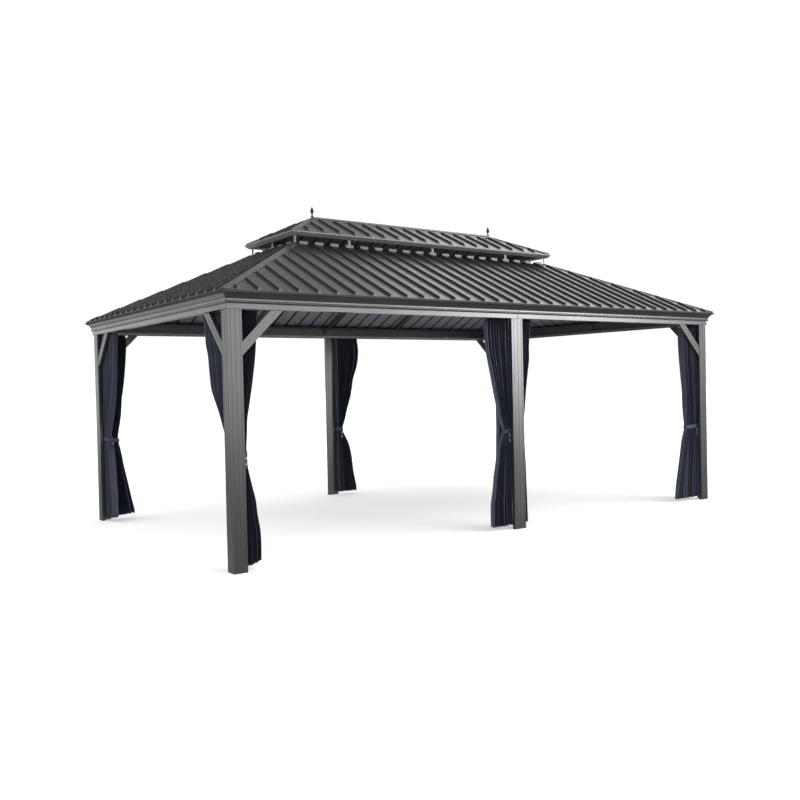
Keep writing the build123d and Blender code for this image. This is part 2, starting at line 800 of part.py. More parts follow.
def main():
    """Make every piece and write it."""
    os.makedirs("parts", exist_ok=True)
    for name, beam in beams().items():
        write(name, beam)
    for place, post in four_corners(corner_post()).items():
        write(f"post_{place}", post)
    front_middle = middle_post()
    write("post_front_middle", front_middle)
    write("post_rear_middle", mirror(front_middle, about=Plane.XZ))
    plates = []
    for low in (0.0, beam_underside - head_plate - fit):
        thickness = foot_plate if low == 0.0 else head_plate
        corner, middle = end_plates(low, low + thickness)
        plates.append([*four_corners(corner).values(), middle, mirror(middle, about=Plane.XZ)])
    write("post_foot_plates", *plates[0])
    write("post_head_plates", *plates[1])
    front_brace, end_brace = knee_braces()
    turned = zip(four_corners(front_brace).items(), four_corners(end_brace).values())
    for (place, first), second in turned:
        write(f"knee_braces_{place}", first, second)
    write("curtain_rails", *[curtain_rail(side) for side in SIDE_TURNS])
    write("rail_brackets", *[block for side in SIDE_TURNS for block in rail_brackets(side)])
    write("beam_splice_plates", *[splice_plate(side) for side in SIDE_TURNS])

    for side in SIDE_TURNS:
        lower_edges = (eave_setback, ring_inset - fit, rib_lower_eave, ring_inset - rib_ring_gap)
        lower = roof_sheet(side, eave_length, eave_width, eave_pan_z, lower_edges, lower_rib_pitch)
        write(f"lower_roof_{side}", lower)
        upper_edges = (trim_sheet + fit, upper_width, rib_upper_eave, upper_width / 2 - rib_ridge_gap)
        upper = roof_sheet(side, upper_length, upper_width, upper_eave_z, upper_edges, upper_rib_pitch)
        write(f"upper_roof_{side}", upper)
    write("lower_hip_caps", *four_corners(lower_hip_cap()).values())
    rafters = list(four_corners(lower_hip_rafter()).values())
    for side in ("front", "rear"):
        rafters += [lower_rafter(side, step * rafter_spacing) for step in (-1, 0, 1)]
    rafters += [lower_rafter(side, 0) for side in ("left", "right")]
    write("lower_rafters", *rafters)
    write("roof_ring", *[ring_bar(side) for side in SIDE_TURNS])
    struts = [strut(side, step * rafter_spacing) for side in ("front", "rear") for step in (-1, 0, 1)]
    struts += [strut(side, 0) for side in ("left", "right")]
    struts += four_corners(corner_strut()).values()
    write("roof_struts", *struts)

    frame = [frame_bar(side) for side in SIDE_TURNS]
    write("upper_roof_frame", *frame, *four_corners(upper_hip_rafter()).values(), ridge_bar())
    write("upper_hip_caps", *four_corners(upper_hip_cap()).values())
    write("ridge_cap", ridge_cap())
    write("upper_fascia", *[upper_trim(side) for side in SIDE_TURNS])
    left_finial = finial()
    write("finial_left", left_finial)
    write("finial_right", mirror(left_finial, about=Plane.YZ))

    write("curtains_front_left", corner_curtains("front_left", "front"))
    write("curtains_front_right", mirror(corner_curtains("front_right", "front"), about=Plane.YZ))
    write("curtains_rear_left", mirror(corner_curtains("rear_left", "rear"), about=Plane.XZ))
    rear_right = mirror(corner_curtains("rear_right", "rear"), about=Plane.YZ)
    write("curtains_rear_right", mirror(rear_right, about=Plane.XZ))
    left_hand = mirror(middle_curtain("front_middle_left"), about=Plane.YZ)
    write("curtains_front_middle", left_hand, middle_curtain("front_middle_right"))
    write("curtains_rear_middle", mirror(middle_curtain("rear_middle_right"), about=Plane.XZ))


main()
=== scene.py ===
"""Dresses the gazebo: paint, metal and cloth finishes, curtains, ties, finials, screws and the studio."""

import logging
import math
from dataclasses import dataclass, field
from enum import Enum

import bmesh
import bpy
from mathutils import Matrix, Vector, noise
from mathutils.bvhtree import BVHTree


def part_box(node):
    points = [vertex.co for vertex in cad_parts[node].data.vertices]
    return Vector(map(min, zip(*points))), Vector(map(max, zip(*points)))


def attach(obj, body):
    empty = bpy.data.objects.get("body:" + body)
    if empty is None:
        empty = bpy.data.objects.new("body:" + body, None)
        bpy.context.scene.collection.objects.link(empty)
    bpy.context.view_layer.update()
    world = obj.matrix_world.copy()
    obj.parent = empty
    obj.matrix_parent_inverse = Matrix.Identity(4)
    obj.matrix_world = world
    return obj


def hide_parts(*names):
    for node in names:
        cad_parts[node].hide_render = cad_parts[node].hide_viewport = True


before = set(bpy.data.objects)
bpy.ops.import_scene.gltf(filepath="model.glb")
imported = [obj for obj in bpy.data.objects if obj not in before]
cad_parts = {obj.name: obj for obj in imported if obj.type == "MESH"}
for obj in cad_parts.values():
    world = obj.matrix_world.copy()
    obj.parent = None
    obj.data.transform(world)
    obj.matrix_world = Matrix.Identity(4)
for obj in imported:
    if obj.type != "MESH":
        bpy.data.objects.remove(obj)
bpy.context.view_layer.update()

BODY = "root"
LOG = logging.getLogger("gazebo")
CLOTH_SIZE = (1.30, 1.95)

Colour = tuple[float, float, float]
Triple = tuple[float, float, float]


class Slot(Enum):
    """The record's material slots, named for each new piece but not used by this script."""

    POWDER_COAT = "powder_coat"
    ROOF_TRIM = "roof_trim"
    RAIL_METAL = "rail_metal"
    FINIAL_METAL = "finial_metal"
    CURTAIN_CLOTH = "curtain_cloth"


class Run(Enum):
    """The direction in which a surface was drawn, rolled or washed by rain, as stretch of its pattern."""

    EVEN = (1.0, 1.0, 1.0)
    ALONG_X = (0.02, 1.0, 1.0)
    ALONG_Y = (1.0, 0.02, 1.0)
    ALONG_Z = (1.0, 1.0, 0.02)


# Finishes


class Board:
    """The node tree of one material, with short calls for the nodes that the finishes share.

    Attributes:
        mix_inputs: the Mix node's factor and colour inputs, whose names its number inputs have too.
        mix_output: its colour output.
    """

    mix_inputs: tuple[int, int, int] = (0, 6, 7)
    mix_output: int = 2

    def __init__(self, name: str) -> None:
        """Start a material.

        Args:
            name: the material's name.
        """
        self.material = bpy.data.materials.new(name)
        self.material.use_nodes = True
        self.tree = self.material.node_tree
        self.shader = self.tree.nodes["Principled BSDF"]

    def feed(self, socket: bpy.types.NodeSocket, value: object) -> None:
        """Link a socket to another, or give it a constant.

        Args:
            socket: the input to fill.
            value: an output socket, a number or a tuple.
        """
        if isinstance(value, bpy.types.NodeSocket):
            self.tree.links.new(value, socket)
        else:
            socket.default_value = value

    def add(self, kind: str, inputs: dict[object, object], **settings: object) -> bpy.types.Node:
        """Add one node.

        Args:
            kind: the node's type.
            inputs: what goes into its sockets, by name or number.
            settings: the node's own settings.

        Returns:
            The node.
        """
        made = self.tree.nodes.new(kind)
        for key, value in settings.items():
            setattr(made, key, value)
        for key, value in inputs.items():
            self.feed(made.inputs[key], value)
        return made

    def place(self, stretch: Triple, output: str = "Object") -> bpy.types.NodeSocket:
        """Coordinates of the piece, stretched by axis.

        Args:
            stretch: scale of each axis.
            output: the coordinates to read, Object or UV.

        Returns:
            The stretched coordinates.
        """
        source = self.add("ShaderNodeTexCoord", {})
        mapped = self.add("ShaderNodeMapping", {"Vector": source.outputs[output], "Scale": stretch})
        return mapped.outputs[0]

    def cloud(self, where: bpy.types.NodeSocket, scale: float, detail: float = 3.0) -> bpy.types.NodeSocket:
        """Noise from 0 to 1.

        Args:
            where: the coordinates.
            scale: how many spots to the metre.
            detail: how many finer layers.

        Returns:
            The noise.
        """
        inputs = {"Vector": where, "Scale": scale, "Detail": detail, "Roughness": 0.55}
        return self.add("ShaderNodeTexNoise", inputs).outputs[0]

    def span(self, source: bpy.types.NodeSocket, low: float, high: float, start: float = 0.3,
             end: float = 0.7) -> bpy.types.NodeSocket:
        """Turn noise into a number between two ends.

        Args:
            source: the noise.
            low: the number where the noise is at start.
            high: the number where the noise is at end.
            start: noise that gives low.
            end: noise that gives high.

        Returns:
            The number.
        """
        inputs = {"Value": source, "From Min": start, "From Max": end, "To Min": low, "To Max": high}
        return self.add("ShaderNodeMapRange", inputs, clamp=True).outputs[0]

    def blend(self, factor: object, first: object, second: object) -> bpy.types.NodeSocket:
        """Mix two colours.

        Args:
            factor: 0 gives the first colour and 1 the second.
            first: a colour or a colour socket.
            second: a colour or a colour socket.

        Returns:
            The mixed colour.
        """
        made = self.add("ShaderNodeMix", {}, data_type="RGBA")
        for index, value in zip(self.mix_inputs, (factor, first, second)):
            self.feed(made.inputs[index], (*value, 1.0) if isinstance(value, tuple) else value)
        return made.outputs[self.mix_output]

    def maths(self, first: object, second: object, rule: str = "ADD") -> bpy.types.NodeSocket:
        """Join two numbers.

        Args:
            first: a number or a socket.
            second: a number or a socket, unread by a rule that takes one number.
            rule: the Math node's operation.

        Returns:
            The result.
        """
        return self.add("ShaderNodeMath", {0: first, 1: second}, operation=rule).outputs[0]

    def edges(self, radius: float) -> bpy.types.NodeSocket:
        """Mask of sharp edges, from 0 on flats to 1 on an edge.

        Args:
            radius: how far from the edge the mask reaches, in metres.

        Returns:
            The mask.
        """
        rounded = self.add("ShaderNodeBevel", {"Radius": radius}, samples=4)
        flat = self.add("ShaderNodeNewGeometry", {})
        dot = self.add("ShaderNodeVectorMath", {0: rounded.outputs[0], 1: flat.outputs["Normal"]},
                       operation="DOT_PRODUCT")
        return self.span(dot.outputs["Value"], low=1.0, high=0.0, start=0.8, end=0.99)

    def relief(self, height: bpy.types.NodeSocket, depth: float) -> None:
        """Raise the surface by a height pattern.

        Args:
            height: the pattern, from 0 to 1.
            depth: how high 1 stands, in metres.
        """
        bump = self.add("ShaderNodeBump", {"Height": height, "Distance": depth, "Strength": 1.0})
        self.feed(self.shader.inputs["Normal"], bump.outputs[0])

    def set(self, **values: object) -> None:
        """Fill the shader's sockets.

        Args:
            values: what goes into each, by its name with underscores for spaces.
        """
        for key, value in values.items():
            value = (*value, 1.0) if isinstance(value, tuple) else value
            self.feed(self.shader.inputs[key.replace("_", " ")], value)


@dataclass(frozen=True)
class Finish:
    """What every finish has.

    Attributes:
        name: the material's name.
        colour: the clean surface's colour.
        roughness: the clean surface's roughness.
    """

    name: str
    colour: Colour
    roughness: float

    def shade(self, share: float) -> Colour:
        """The colour made lighter or darker by a factor."""
        return tuple(min(1.0, channel * share) for channel in self.colour)

    def build(self) -> bpy.types.Material:
        """Make the material.

        Returns:
            The material.
        """
        board = Board(self.name)
        self.dress(board)
        return board.material

    def dress(self, board: Board) -> None:
        """Lay the nodes.

        Args:
            board: the material's nodes.
        """
        raise NotImplementedError


@dataclass(frozen=True)
class PowderCoat(Finish):
    """Satin powder coat on a drawn aluminium section: fine grain, faint draw lines, dust, and edges lightened
    as wear and painted highlight.

    Attributes:
        run: the way the section was drawn.
        dust: how much pale dust lies on it.
        gloss: weight of the clear top of the coat.
        rim: height in metres above which rain and dust have dulled it.
        nose: lowest and highest height of the section's small upright nose, or None.
        joint: axis across which two sections butt at the middle of a side, or None.
    """

    run: Run = Run.EVEN
    dust: float = 0.25
    gloss: float = 0.7
    rim: float = 9.0
    nose: tuple[float, float] | None = None
    joint: int | None = None

    def dress(self, board: Board) -> None:
        """Lay the nodes of the coat.

        Args:
            board: the material's nodes.
        """
        where = board.place(Run.EVEN.value)
        axes = board.add("ShaderNodeSeparateXYZ", {0: where}).outputs
        broad = board.cloud(where, scale=1.7, detail=4.0)
        grain = board.cloud(where, scale=620.0, detail=2.0)
        drawn = board.cloud(board.place(self.run.value), scale=90.0, detail=2.0)
        film = board.maths(board.span(broad, low=0.0, high=self.dust), board.span(drawn, low=0.0, high=0.2))
        tone = board.blend(film, self.shade(0.86), self.shade(1.5))
        # Painted highlight and wear: sharp edges are lightened in colour, as rubbed paint and as the light a
        # rounded edge would catch.
        edge_wear_and_highlight = board.maths(board.edges(radius=0.002), 0.4, "MULTIPLY")
        colour = board.blend(edge_wear_and_highlight, tone, self.shade(2.6))
        dull = board.span(axes[2], low=0.0, high=1.0, start=self.rim, end=self.rim + 0.004)
        if self.joint is not None:
            away = board.maths(axes[self.joint], 0.0, "ABSOLUTE")
            gap = board.span(away, low=1.0, high=0.0, start=0.0022, end=0.0036)
            dull = board.maths(dull, gap, "MAXIMUM")
            colour = board.blend(gap, colour, self.shade(0.15))
        shine = board.span(broad, low=self.roughness - 0.05, high=self.roughness + 0.08)
        board.set(
            Base_Color=colour,
            Roughness=board.maths(shine, board.maths(dull, 0.3, "MULTIPLY")),
            Metallic=0.0,
            Coat_Weight=board.maths(board.maths(1.0, dull, "SUBTRACT"), self.gloss, "MULTIPLY"),
            Coat_Roughness=0.2,
            Coat_IOR=1.6,
        )
        board.relief(board.maths(grain, board.span(drawn, low=0.0, high=1.4)), depth=0.00009)
        if self.nose is not None:
            self.straighten(board, axes[2], *self.nose)

    def straighten(self, board: Board, level: bpy.types.NodeSocket, low: float, high: float) -> None:
        """Shade what lies between two heights as an upright face, which mirrors the horizon.

        Args:
            board: the material's nodes.
            level: height of the surface.
            low: where the upright face starts.
            high: where it ends.
        """
        over = board.span(level, low=0.0, high=1.0, start=low, end=low + 0.003)
        under = board.span(level, low=1.0, high=0.0, start=high - 0.003, end=high)
        tilt = board.maths(1.0, board.maths(over, under, "MULTIPLY"), "SUBTRACT")
        keep = board.add("ShaderNodeCombineXYZ", {0: 1.0, 1: 1.0, 2: tilt}).outputs[0]
        normal = board.add("ShaderNodeNewGeometry", {}).outputs["Normal"]
        turned = board.add("ShaderNodeVectorMath", {0: normal, 1: keep}, operation="MULTIPLY")
        upright = board.add("ShaderNodeVectorMath", {0: turned.outputs[0]}, operation="NORMALIZE")
        bump = board.shader.inputs["Normal"].links[0].from_node
        for socket in (bump.inputs["Normal"], board.shader.inputs["Coat Normal"]):
            board.feed(socket, upright.outputs[0])


@dataclass(frozen=True)
class RoofPaint(Finish):
    """Baked paint on rolled steel sheet: slight waves in the pans, rain streaks down them, edges lightened as
    wear and painted highlight, a backing coat that the upper sheets swap for painted shade.

    Attributes:
        run: the way rain runs down the slope.
        back: colour of the faces that look down: the backing coat, and on the upper sheets painted shade.
        wash: least stretch of the rain streaks.
    """

    run: Run = Run.ALONG_Y
    back: Colour = (0.120, 0.125, 0.142)
    wash: float = 0.06

    def dress(self, board: Board) -> None:
        """Lay the nodes of the paint.

        Args:
            board: the material's nodes.
        """
        where = board.place(Run.EVEN.value)
        washed = board.place(tuple(max(axis, self.wash) for axis in self.run.value))
        broad = board.cloud(where, scale=0.9, detail=3.0)
        streak = board.cloud(washed, scale=26.0, detail=5.0)
        grain = board.cloud(where, scale=500.0, detail=2.0)
        film = board.maths(board.span(streak, low=0.0, high=0.5, start=0.45, end=0.75),
                           board.span(broad, low=0.2, high=1.0), "MULTIPLY")
        tone = board.blend(film, self.colour, self.shade(2.4))
        # Painted highlight and wear: the ribs' sharp edges are lightened in colour, as rubbed paint and as
        # the light they would catch.
        edge_wear_and_highlight = board.maths(board.edges(radius=0.003), 0.35, "MULTIPLY")
        tone_with_wear_and_highlight = board.blend(edge_wear_and_highlight, tone, self.shade(4.5))
        # Faces that look down take the back colour: a pale backing coat, and on the upper sheets painted
        # shade.
        normal = board.add("ShaderNodeNewGeometry", {}).outputs["True Normal"]
        facing = board.add("ShaderNodeSeparateXYZ", {0: normal}).outputs
        under = board.span(facing[2], low=1.0, high=0.0, start=-0.5, end=-0.3)
        board.set(
            Base_Color=board.blend(under, tone_with_wear_and_highlight, self.back),
            Roughness=board.span(streak, low=self.roughness - 0.06, high=self.roughness + 0.1),
            Metallic=0.0,
            Coat_Weight=0.4,
            Coat_Roughness=0.24,
            Coat_IOR=1.6,
        )
        waves = board.cloud(board.place((0.5, 0.5, 0.5)), scale=7.0, detail=1.0)
        board.relief(board.maths(waves, board.maths(grain, 0.012, "MULTIPLY")), depth=0.0022)


@dataclass(frozen=True)
class BareMetal(Finish):
    """Anodised or zinc plated metal with fine lines from drawing.

    Attributes:
        run: the way the lines go.
    """

    run: Run = Run.EVEN

    def dress(self, board: Board) -> None:
        """Lay the nodes of the metal.

        Args:
            board: the material's nodes.
        """
        lines = board.cloud(board.place(self.run.value), scale=420.0, detail=2.0)
        spots = board.cloud(board.place(Run.EVEN.value), scale=38.0, detail=3.0)
        board.set(
            Base_Color=board.blend(board.span(spots, low=0.0, high=1.0), self.shade(0.8), self.shade(1.15)),
            Roughness=board.span(spots, low=self.roughness - 0.06, high=self.roughness + 0.12),
            Metallic=1.0,
        )
        board.relief(lines, depth=0.00006)


@dataclass(frozen=True)
class CastPaint(Finish):
    """Satin paint over cast metal, with the soft pitting of the casting."""

    def dress(self, board: Board) -> None:
        """Lay the nodes of the casting.

        Args:
            board: the material's nodes.
        """
        where = board.place(Run.EVEN.value)
        pits = board.cloud(where, scale=240.0, detail=3.0)
        spots = board.cloud(where, scale=22.0, detail=2.0)
        board.set(
            Base_Color=board.blend(board.span(spots, low=0.0, high=1.0), self.colour, self.shade(1.7)),
            Roughness=board.span(spots, low=self.roughness - 0.05, high=self.roughness + 0.1),
            Metallic=0.0,
        )
        board.relief(pits, depth=0.0004)


@dataclass(frozen=True)
class Weave(Finish):
    """Plain woven polyester, read from the cloth's own flat map in metres, with stitched hems and painted
    shade in the folds' hollows.

    Attributes:
        thread: distance between threads.
        hem: how far the stitching lies from the edge of the cloth.
        fold_shade_reach: how far from its neighbour a fold starts to darken with painted shade.
    """

    thread: float = 0.0009
    hem: float = 0.03
    fold_shade_reach: float = 0.045

    def weave(self, board: Board, flat: tuple[bpy.types.NodeSocket, ...]) -> bpy.types.NodeSocket:
        """The threads' ups and downs.

        Args:
            board: the material's nodes.
            flat: distance across and down the flat cloth.

        Returns:
            The height, from -1 to 1.
        """
        waves = []
        for distance in flat:
            turn = board.maths(distance, math.tau / self.thread, "MULTIPLY")
            waves.append(board.maths(turn, 0.0, "SINE"))
        return board.maths(waves[0], waves[1], "MULTIPLY")

    def stitches(self, board: Board, flat: tuple[bpy.types.NodeSocket, ...]) -> bpy.types.NodeSocket:
        """The lines of stitching along all four edges.

        Args:
            board: the material's nodes.
            flat: distance across and down the flat cloth.

        Returns:
            The mask, 1 on a line.
        """
        mask = None
        for distance, length in zip(flat, CLOTH_SIZE):
            for line in (self.hem, length - self.hem):
                away = board.maths(board.maths(distance, line, "SUBTRACT"), 0.0, "ABSOLUTE")
                near = board.span(away, low=1.0, high=0.0, start=0.0006, end=0.0022)
                mask = near if mask is None else board.maths(mask, near, "MAXIMUM")
        return mask

    def dress(self, board: Board) -> None:
        """Lay the nodes of the cloth.

        Args:
            board: the material's nodes.
        """
        axes = board.add("ShaderNodeSeparateXYZ", {0: board.place(Run.EVEN.value, "UV")}).outputs
        weave = self.weave(board, (axes[0], axes[1]))
        stitches = self.stitches(board, (axes[0], axes[1]))
        fade = board.cloud(board.place((1.0, 0.35, 1.0), "UV"), scale=5.0, detail=4.0)
        slub = board.cloud(board.place((1.0, 0.05, 1.0), "UV"), scale=340.0, detail=2.0)
        tone = board.blend(board.span(fade, low=0.0, high=0.8), self.colour, self.shade(1.7))
        tone = board.blend(board.span(slub, low=0.0, high=0.35), tone, self.shade(2.2))
        # Painted shade: the cloth's colour darkens where ambient occlusion finds the hollows between folds.
        fold_occlusion = board.add("ShaderNodeAmbientOcclusion", {"Distance": self.fold_shade_reach}, samples=6).outputs["AO"]
        painted_fold_light = board.span(fold_occlusion, low=0.0, high=1.0, start=0.3, end=0.95)
        tone = board.blend(painted_fold_light, self.shade(0.3), tone)
        board.set(
            Base_Color=board.blend(board.maths(stitches, 0.5, "MULTIPLY"), tone, self.shade(0.4)),
            Roughness=board.span(slub, low=self.roughness - 0.06, high=self.roughness + 0.06),
            Metallic=0.0,
            Sheen_Weight=0.3,
            Sheen_Roughness=0.35,
            Sheen_Tint=(0.55, 0.62, 0.9),
        )
        board.relief(board.maths(board.maths(weave, 0.25, "MULTIPLY"), stitches, "SUBTRACT"), depth=0.0004)


@dataclass(frozen=True)
class StudioFloor(Finish):
    """Plain pale studio floor, with the faintest mottling, lit a little from below as a light table is.

    Attributes:
        glow: how bright it is by itself.
    """

    glow: float = 0.35

    def dress(self, board: Board) -> None:
        """Lay the nodes of the floor.

        Args:
            board: the material's nodes.
        """
        mottle = board.cloud(board.place(Run.EVEN.value), scale=0.4, detail=2.0)
        board.set(
            Base_Color=board.blend(board.span(mottle, low=0.0, high=1.0), self.shade(0.99), self.colour),
            Roughness=self.roughness,
            Specular_IOR_Level=0.1,
            Emission_Color=(1.0, 1.0, 1.0),
            Emission_Strength=self.glow,
        )


# Colours, and heights on the cornice's section in metres

CHARCOAL: Colour = (0.024, 0.025, 0.027)
ROOF_BLACK: Colour = (0.014, 0.0145, 0.016)
# Painted shade: the upper sheets' underside is near black for the shadow under the upper roof, not a backing
# coat.
PAINTED_SHADE_BACK: Colour = (0.016, 0.0165, 0.018)
NAVY: Colour = (0.022, 0.027, 0.047)
NOSE = (2.043, 2.060)
RIM = 2.094

FINISHES: dict[str, Finish] = {
    "posts": PowderCoat("Post powder coat", CHARCOAL, 0.3, Run.ALONG_Z),
    "long_beams": PowderCoat(
        "Long beam powder coat", CHARCOAL, 0.28, Run.ALONG_X, rim=RIM, nose=NOSE, joint=0,
    ),
    "end_beams": PowderCoat(
        "End beam powder coat", CHARCOAL, 0.28, Run.ALONG_Y, rim=RIM, nose=NOSE, joint=1,
    ),
    "braces": PowderCoat("Brace powder coat", CHARCOAL, 0.3),
    "carcass": PowderCoat("Carcass paint", (0.035, 0.036, 0.039), 0.45, Run.EVEN, 0.4),
    # Painted reflection: the struts' grey is lightened to stand in for what their faces mirror.
    "struts": PowderCoat("Strut paint with painted reflection", (0.13, 0.133, 0.138), 0.42, gloss=0.4),
    # Painted highlight: the ring's grey is lightened to show the bright dashes along its tabs.
    "ring": PowderCoat("Ring paint with painted highlight", (0.115, 0.117, 0.121), 0.5, gloss=0.3),
    "edge_trim": PowderCoat("Edge trim paint", (0.150, 0.153, 0.158), 0.4, gloss=0.3),
    "trim": RoofPaint("Roof trim paint", (0.040, 0.041, 0.044), 0.3, Run.EVEN),
    "long_slopes": RoofPaint("Long slope paint", ROOF_BLACK, 0.3, Run.ALONG_Y),
    "end_slopes": RoofPaint("End slope paint", ROOF_BLACK, 0.3, Run.ALONG_X),
    # Painted shade: the upper slopes face down in the near black back colour.
    "upper_long_slopes": RoofPaint("Upper long slope paint", ROOF_BLACK, 0.3, Run.ALONG_Y, PAINTED_SHADE_BACK),
    "upper_end_slopes": RoofPaint("Upper end slope paint", ROOF_BLACK, 0.3, Run.ALONG_X, PAINTED_SHADE_BACK),
    "rails": BareMetal("Anodised rail", (0.30, 0.30, 0.31), 0.35),
    "screws": BareMetal("Zinc plate", (0.62, 0.62, 0.60), 0.28),
    "painted_screws": PowderCoat("Painted screws", (0.030, 0.031, 0.033), 0.4, gloss=0.4),
    "finials": CastPaint("Finial paint", (0.012, 0.012, 0.013), 0.35),
    "cloth": Weave("Curtain weave", NAVY, 0.56),
    "floor": StudioFloor("Studio floor", (0.76, 0.76, 0.755), 0.8),
    "plastic": CastPaint("Glider plastic", (0.5, 0.5, 0.48), 0.4),
}

NODE_FINISHES: tuple[tuple[str, str], ...] = (
    ("front_beam", "long_beams"),
    ("rear_beam", "long_beams"),
    ("left_beam", "end_beams"),
    ("right_beam", "end_beams"),
    ("beam_splice", "braces"),
    ("post_", "posts"),
    ("knee_braces", "braces"),
    ("curtain_rails", "rails"),
    ("rail_brackets", "rails"),
    ("lower_roof_front", "long_slopes"),
    ("lower_roof_rear", "long_slopes"),
    ("upper_roof_front", "upper_long_slopes"),
    ("upper_roof_rear", "upper_long_slopes"),
    ("lower_roof", "end_slopes"),
    ("upper_roof_frame", "carcass"),
    ("upper_roof", "upper_end_slopes"),
    ("lower_hip", "trim"),
    ("upper_hip", "trim"),
    ("ridge_cap", "trim"),
    ("upper_fascia", "edge_trim"),
    ("roof_struts", "struts"),
    ("lower_rafters", "carcass"),
    ("roof_ring", "ring"),
    ("finial", "finials"),
    ("curtains", "cloth"),
)


@dataclass
class Wardrobe:
    """The finished materials, made once each and given to CAD nodes and new pieces.

    Attributes:
        made: the materials made so far, by the key of their finish.
    """

    made: dict[str, bpy.types.Material] = field(default_factory=dict)

    def pick(self, name: str) -> bpy.types.Material:
        """The material of a finish.

        Args:
            name: the finish, by its key in FINISHES.

        Returns:
            The material.
        """
        if name not in self.made:
            self.made[name] = FINISHES[name].build()
        return self.made[name]

    def dress_nodes(self) -> None:
        """Give every CAD node its material."""
        for name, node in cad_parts.items():
            key = next(finish for start, finish in NODE_FINISHES if name.startswith(start))
            for place in node.material_slots:
                place.material = self.pick(key)
            LOG.info("node %s takes %s", name, key)


# Pieces


@dataclass
class Workshop:
    """Turns finished meshes into pieces that ride on the gazebo.

    Attributes:
        wardrobe: holds the materials.
    """

    wardrobe: Wardrobe

    def publish(self, name: str, mesh: bmesh.types.BMesh, finish: str, slot: Slot,
                smooth: bool = True) -> bpy.types.Object:
        """Make an object of a mesh, in place and at the origin.

        Args:
            name: the piece's name.
            mesh: its finished mesh, which is freed.
            finish: its finish, by key.
            slot: the record's slot; not used.
            smooth: whether its faces are shaded smooth.

        Returns:
            The object.
        """
        for face in mesh.faces:
            face.smooth = smooth
        data = bpy.data.meshes.new(name)
        mesh.to_mesh(data)
        mesh.free()
        data.materials.append(self.wardrobe.pick(finish))
        piece = bpy.data.objects.new(name, data)
        bpy.context.scene.collection.objects.link(piece)
        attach(piece, BODY)
        LOG.info("piece %s: %d faces", name, len(data.polygons))
        return piece


@dataclass(frozen=True)
class Plan:
    """Sizes of the CAD model that the new pieces are set out from, in metres.

    Attributes:
        half_length: half the length over the cornice's lip.
        half_width: half the width over the lip.
        upper_half_length: half the length of the upper roof.
        upper_half_width: half the width of the upper roof.
        beam_underside: height of the beams' underside.
        rail_line: how far the middle of the curtain rails stands in from the lip.
        post_edge: how far a corner post's flanges reach in from the lip.
        post_back: how far the back of every post stands in from the lip.
        middle_half: half the width of a middle post.
    """

    half_length: float = 2.99
    half_width: float = 1.80
    upper_half_length: float = 1.705
    upper_half_width: float = 0.515
    beam_underside: float = 1.985
    rail_line: float = 0.131
    post_edge: float = 0.184
    post_back: float = 0.104
    middle_half: float = 0.069


@dataclass(frozen=True)
class Place:
    """Where a post stands, as mirror factors of the front left or front middle one.

    Attributes:
        name: the post's place in words.
        flip_x: 1, or -1 where left and right are swapped.
        flip_y: 1, or -1 where front and rear are swapped.
    """

    name: str
    flip_x: int
    flip_y: int

    def carry(self, point: Vector) -> Vector:
        """A point of the model post's surroundings, carried to this one."""
        return Vector((point.x * self.flip_x, point.y * self.flip_y, point.z))


FRONT_LEFT = Place("front_left", 1, 1)
FRONT_RIGHT = Place("front_right", -1, 1)
REAR_LEFT = Place("rear_left", 1, -1)
REAR_RIGHT = Place("rear_right", -1, -1)
FRONT_MIDDLE = Place("front_middle", 1, 1)
REAR_MIDDLE = Place("rear_middle", -1, -1)


@dataclass(frozen=True)
class Stations:
    """A smooth line through stations of height and value.

    Attributes:
        points: the stations, highest first.
    """

    points: tuple[tuple[float, float], ...]

    def at(self, height: float) -> float:
        """The value at a height.

        Args:
            height: the height in metres.

        Returns:
            The value on a smooth curve through the stations.
        """
        points = self.points
        if height >= points[0][0]:
            return points[0][1]
        for index in range(len(points) - 1):
            (high, first), (low, second) = points[index], points[index + 1]
            if height >= low:
                share = (high - height) / (high - low)
                before = points[max(index - 1, 0)]
                after = points[min(index + 2, len(points) - 1)]
                span = high - low
                tangent_in = (second - before[1]) / max(before[0] - low, span) * span
                tangent_out = (after[1] - first) / max(high - after[0], span) * span
                square, cube = share * share, share * share * share
                return (
                    (2 * cube - 3 * square + 1) * first
                    + (cube - 2 * square + share) * tangent_in
                    + (3 * square - 2 * cube) * second
                    + (cube - square) * tangent_out
                )
        return points[-1][1]


class Side(Enum):
    """Which way a curtain runs from its post."""

    LONG = "long"
    END = "end"
    NEAR = "near"
    FAR = "far"


@dataclass(frozen=True)
class Hang:
    """One tied-back curtain and the way that it hangs.

    Attributes:
        place: its post.
        side: which way it runs from the post.
        reach: how far its leading edge stands from the post, by height.
        tie: height of its tie.
        pleats: how many pleats it hangs in.
        lift: how much higher the leading corner of the hem hangs.
        seed: where its folds are read from the noise.
    """

    place: Place
    side: Side
    reach: Stations
    tie: float
    pleats: int = 8
    lift: float = 0.02
    seed: float = 0.0

    @property
    def name(self) -> str:
        """The curtain's name."""
        return f"curtain_{self.side.value}_{self.place.name}"


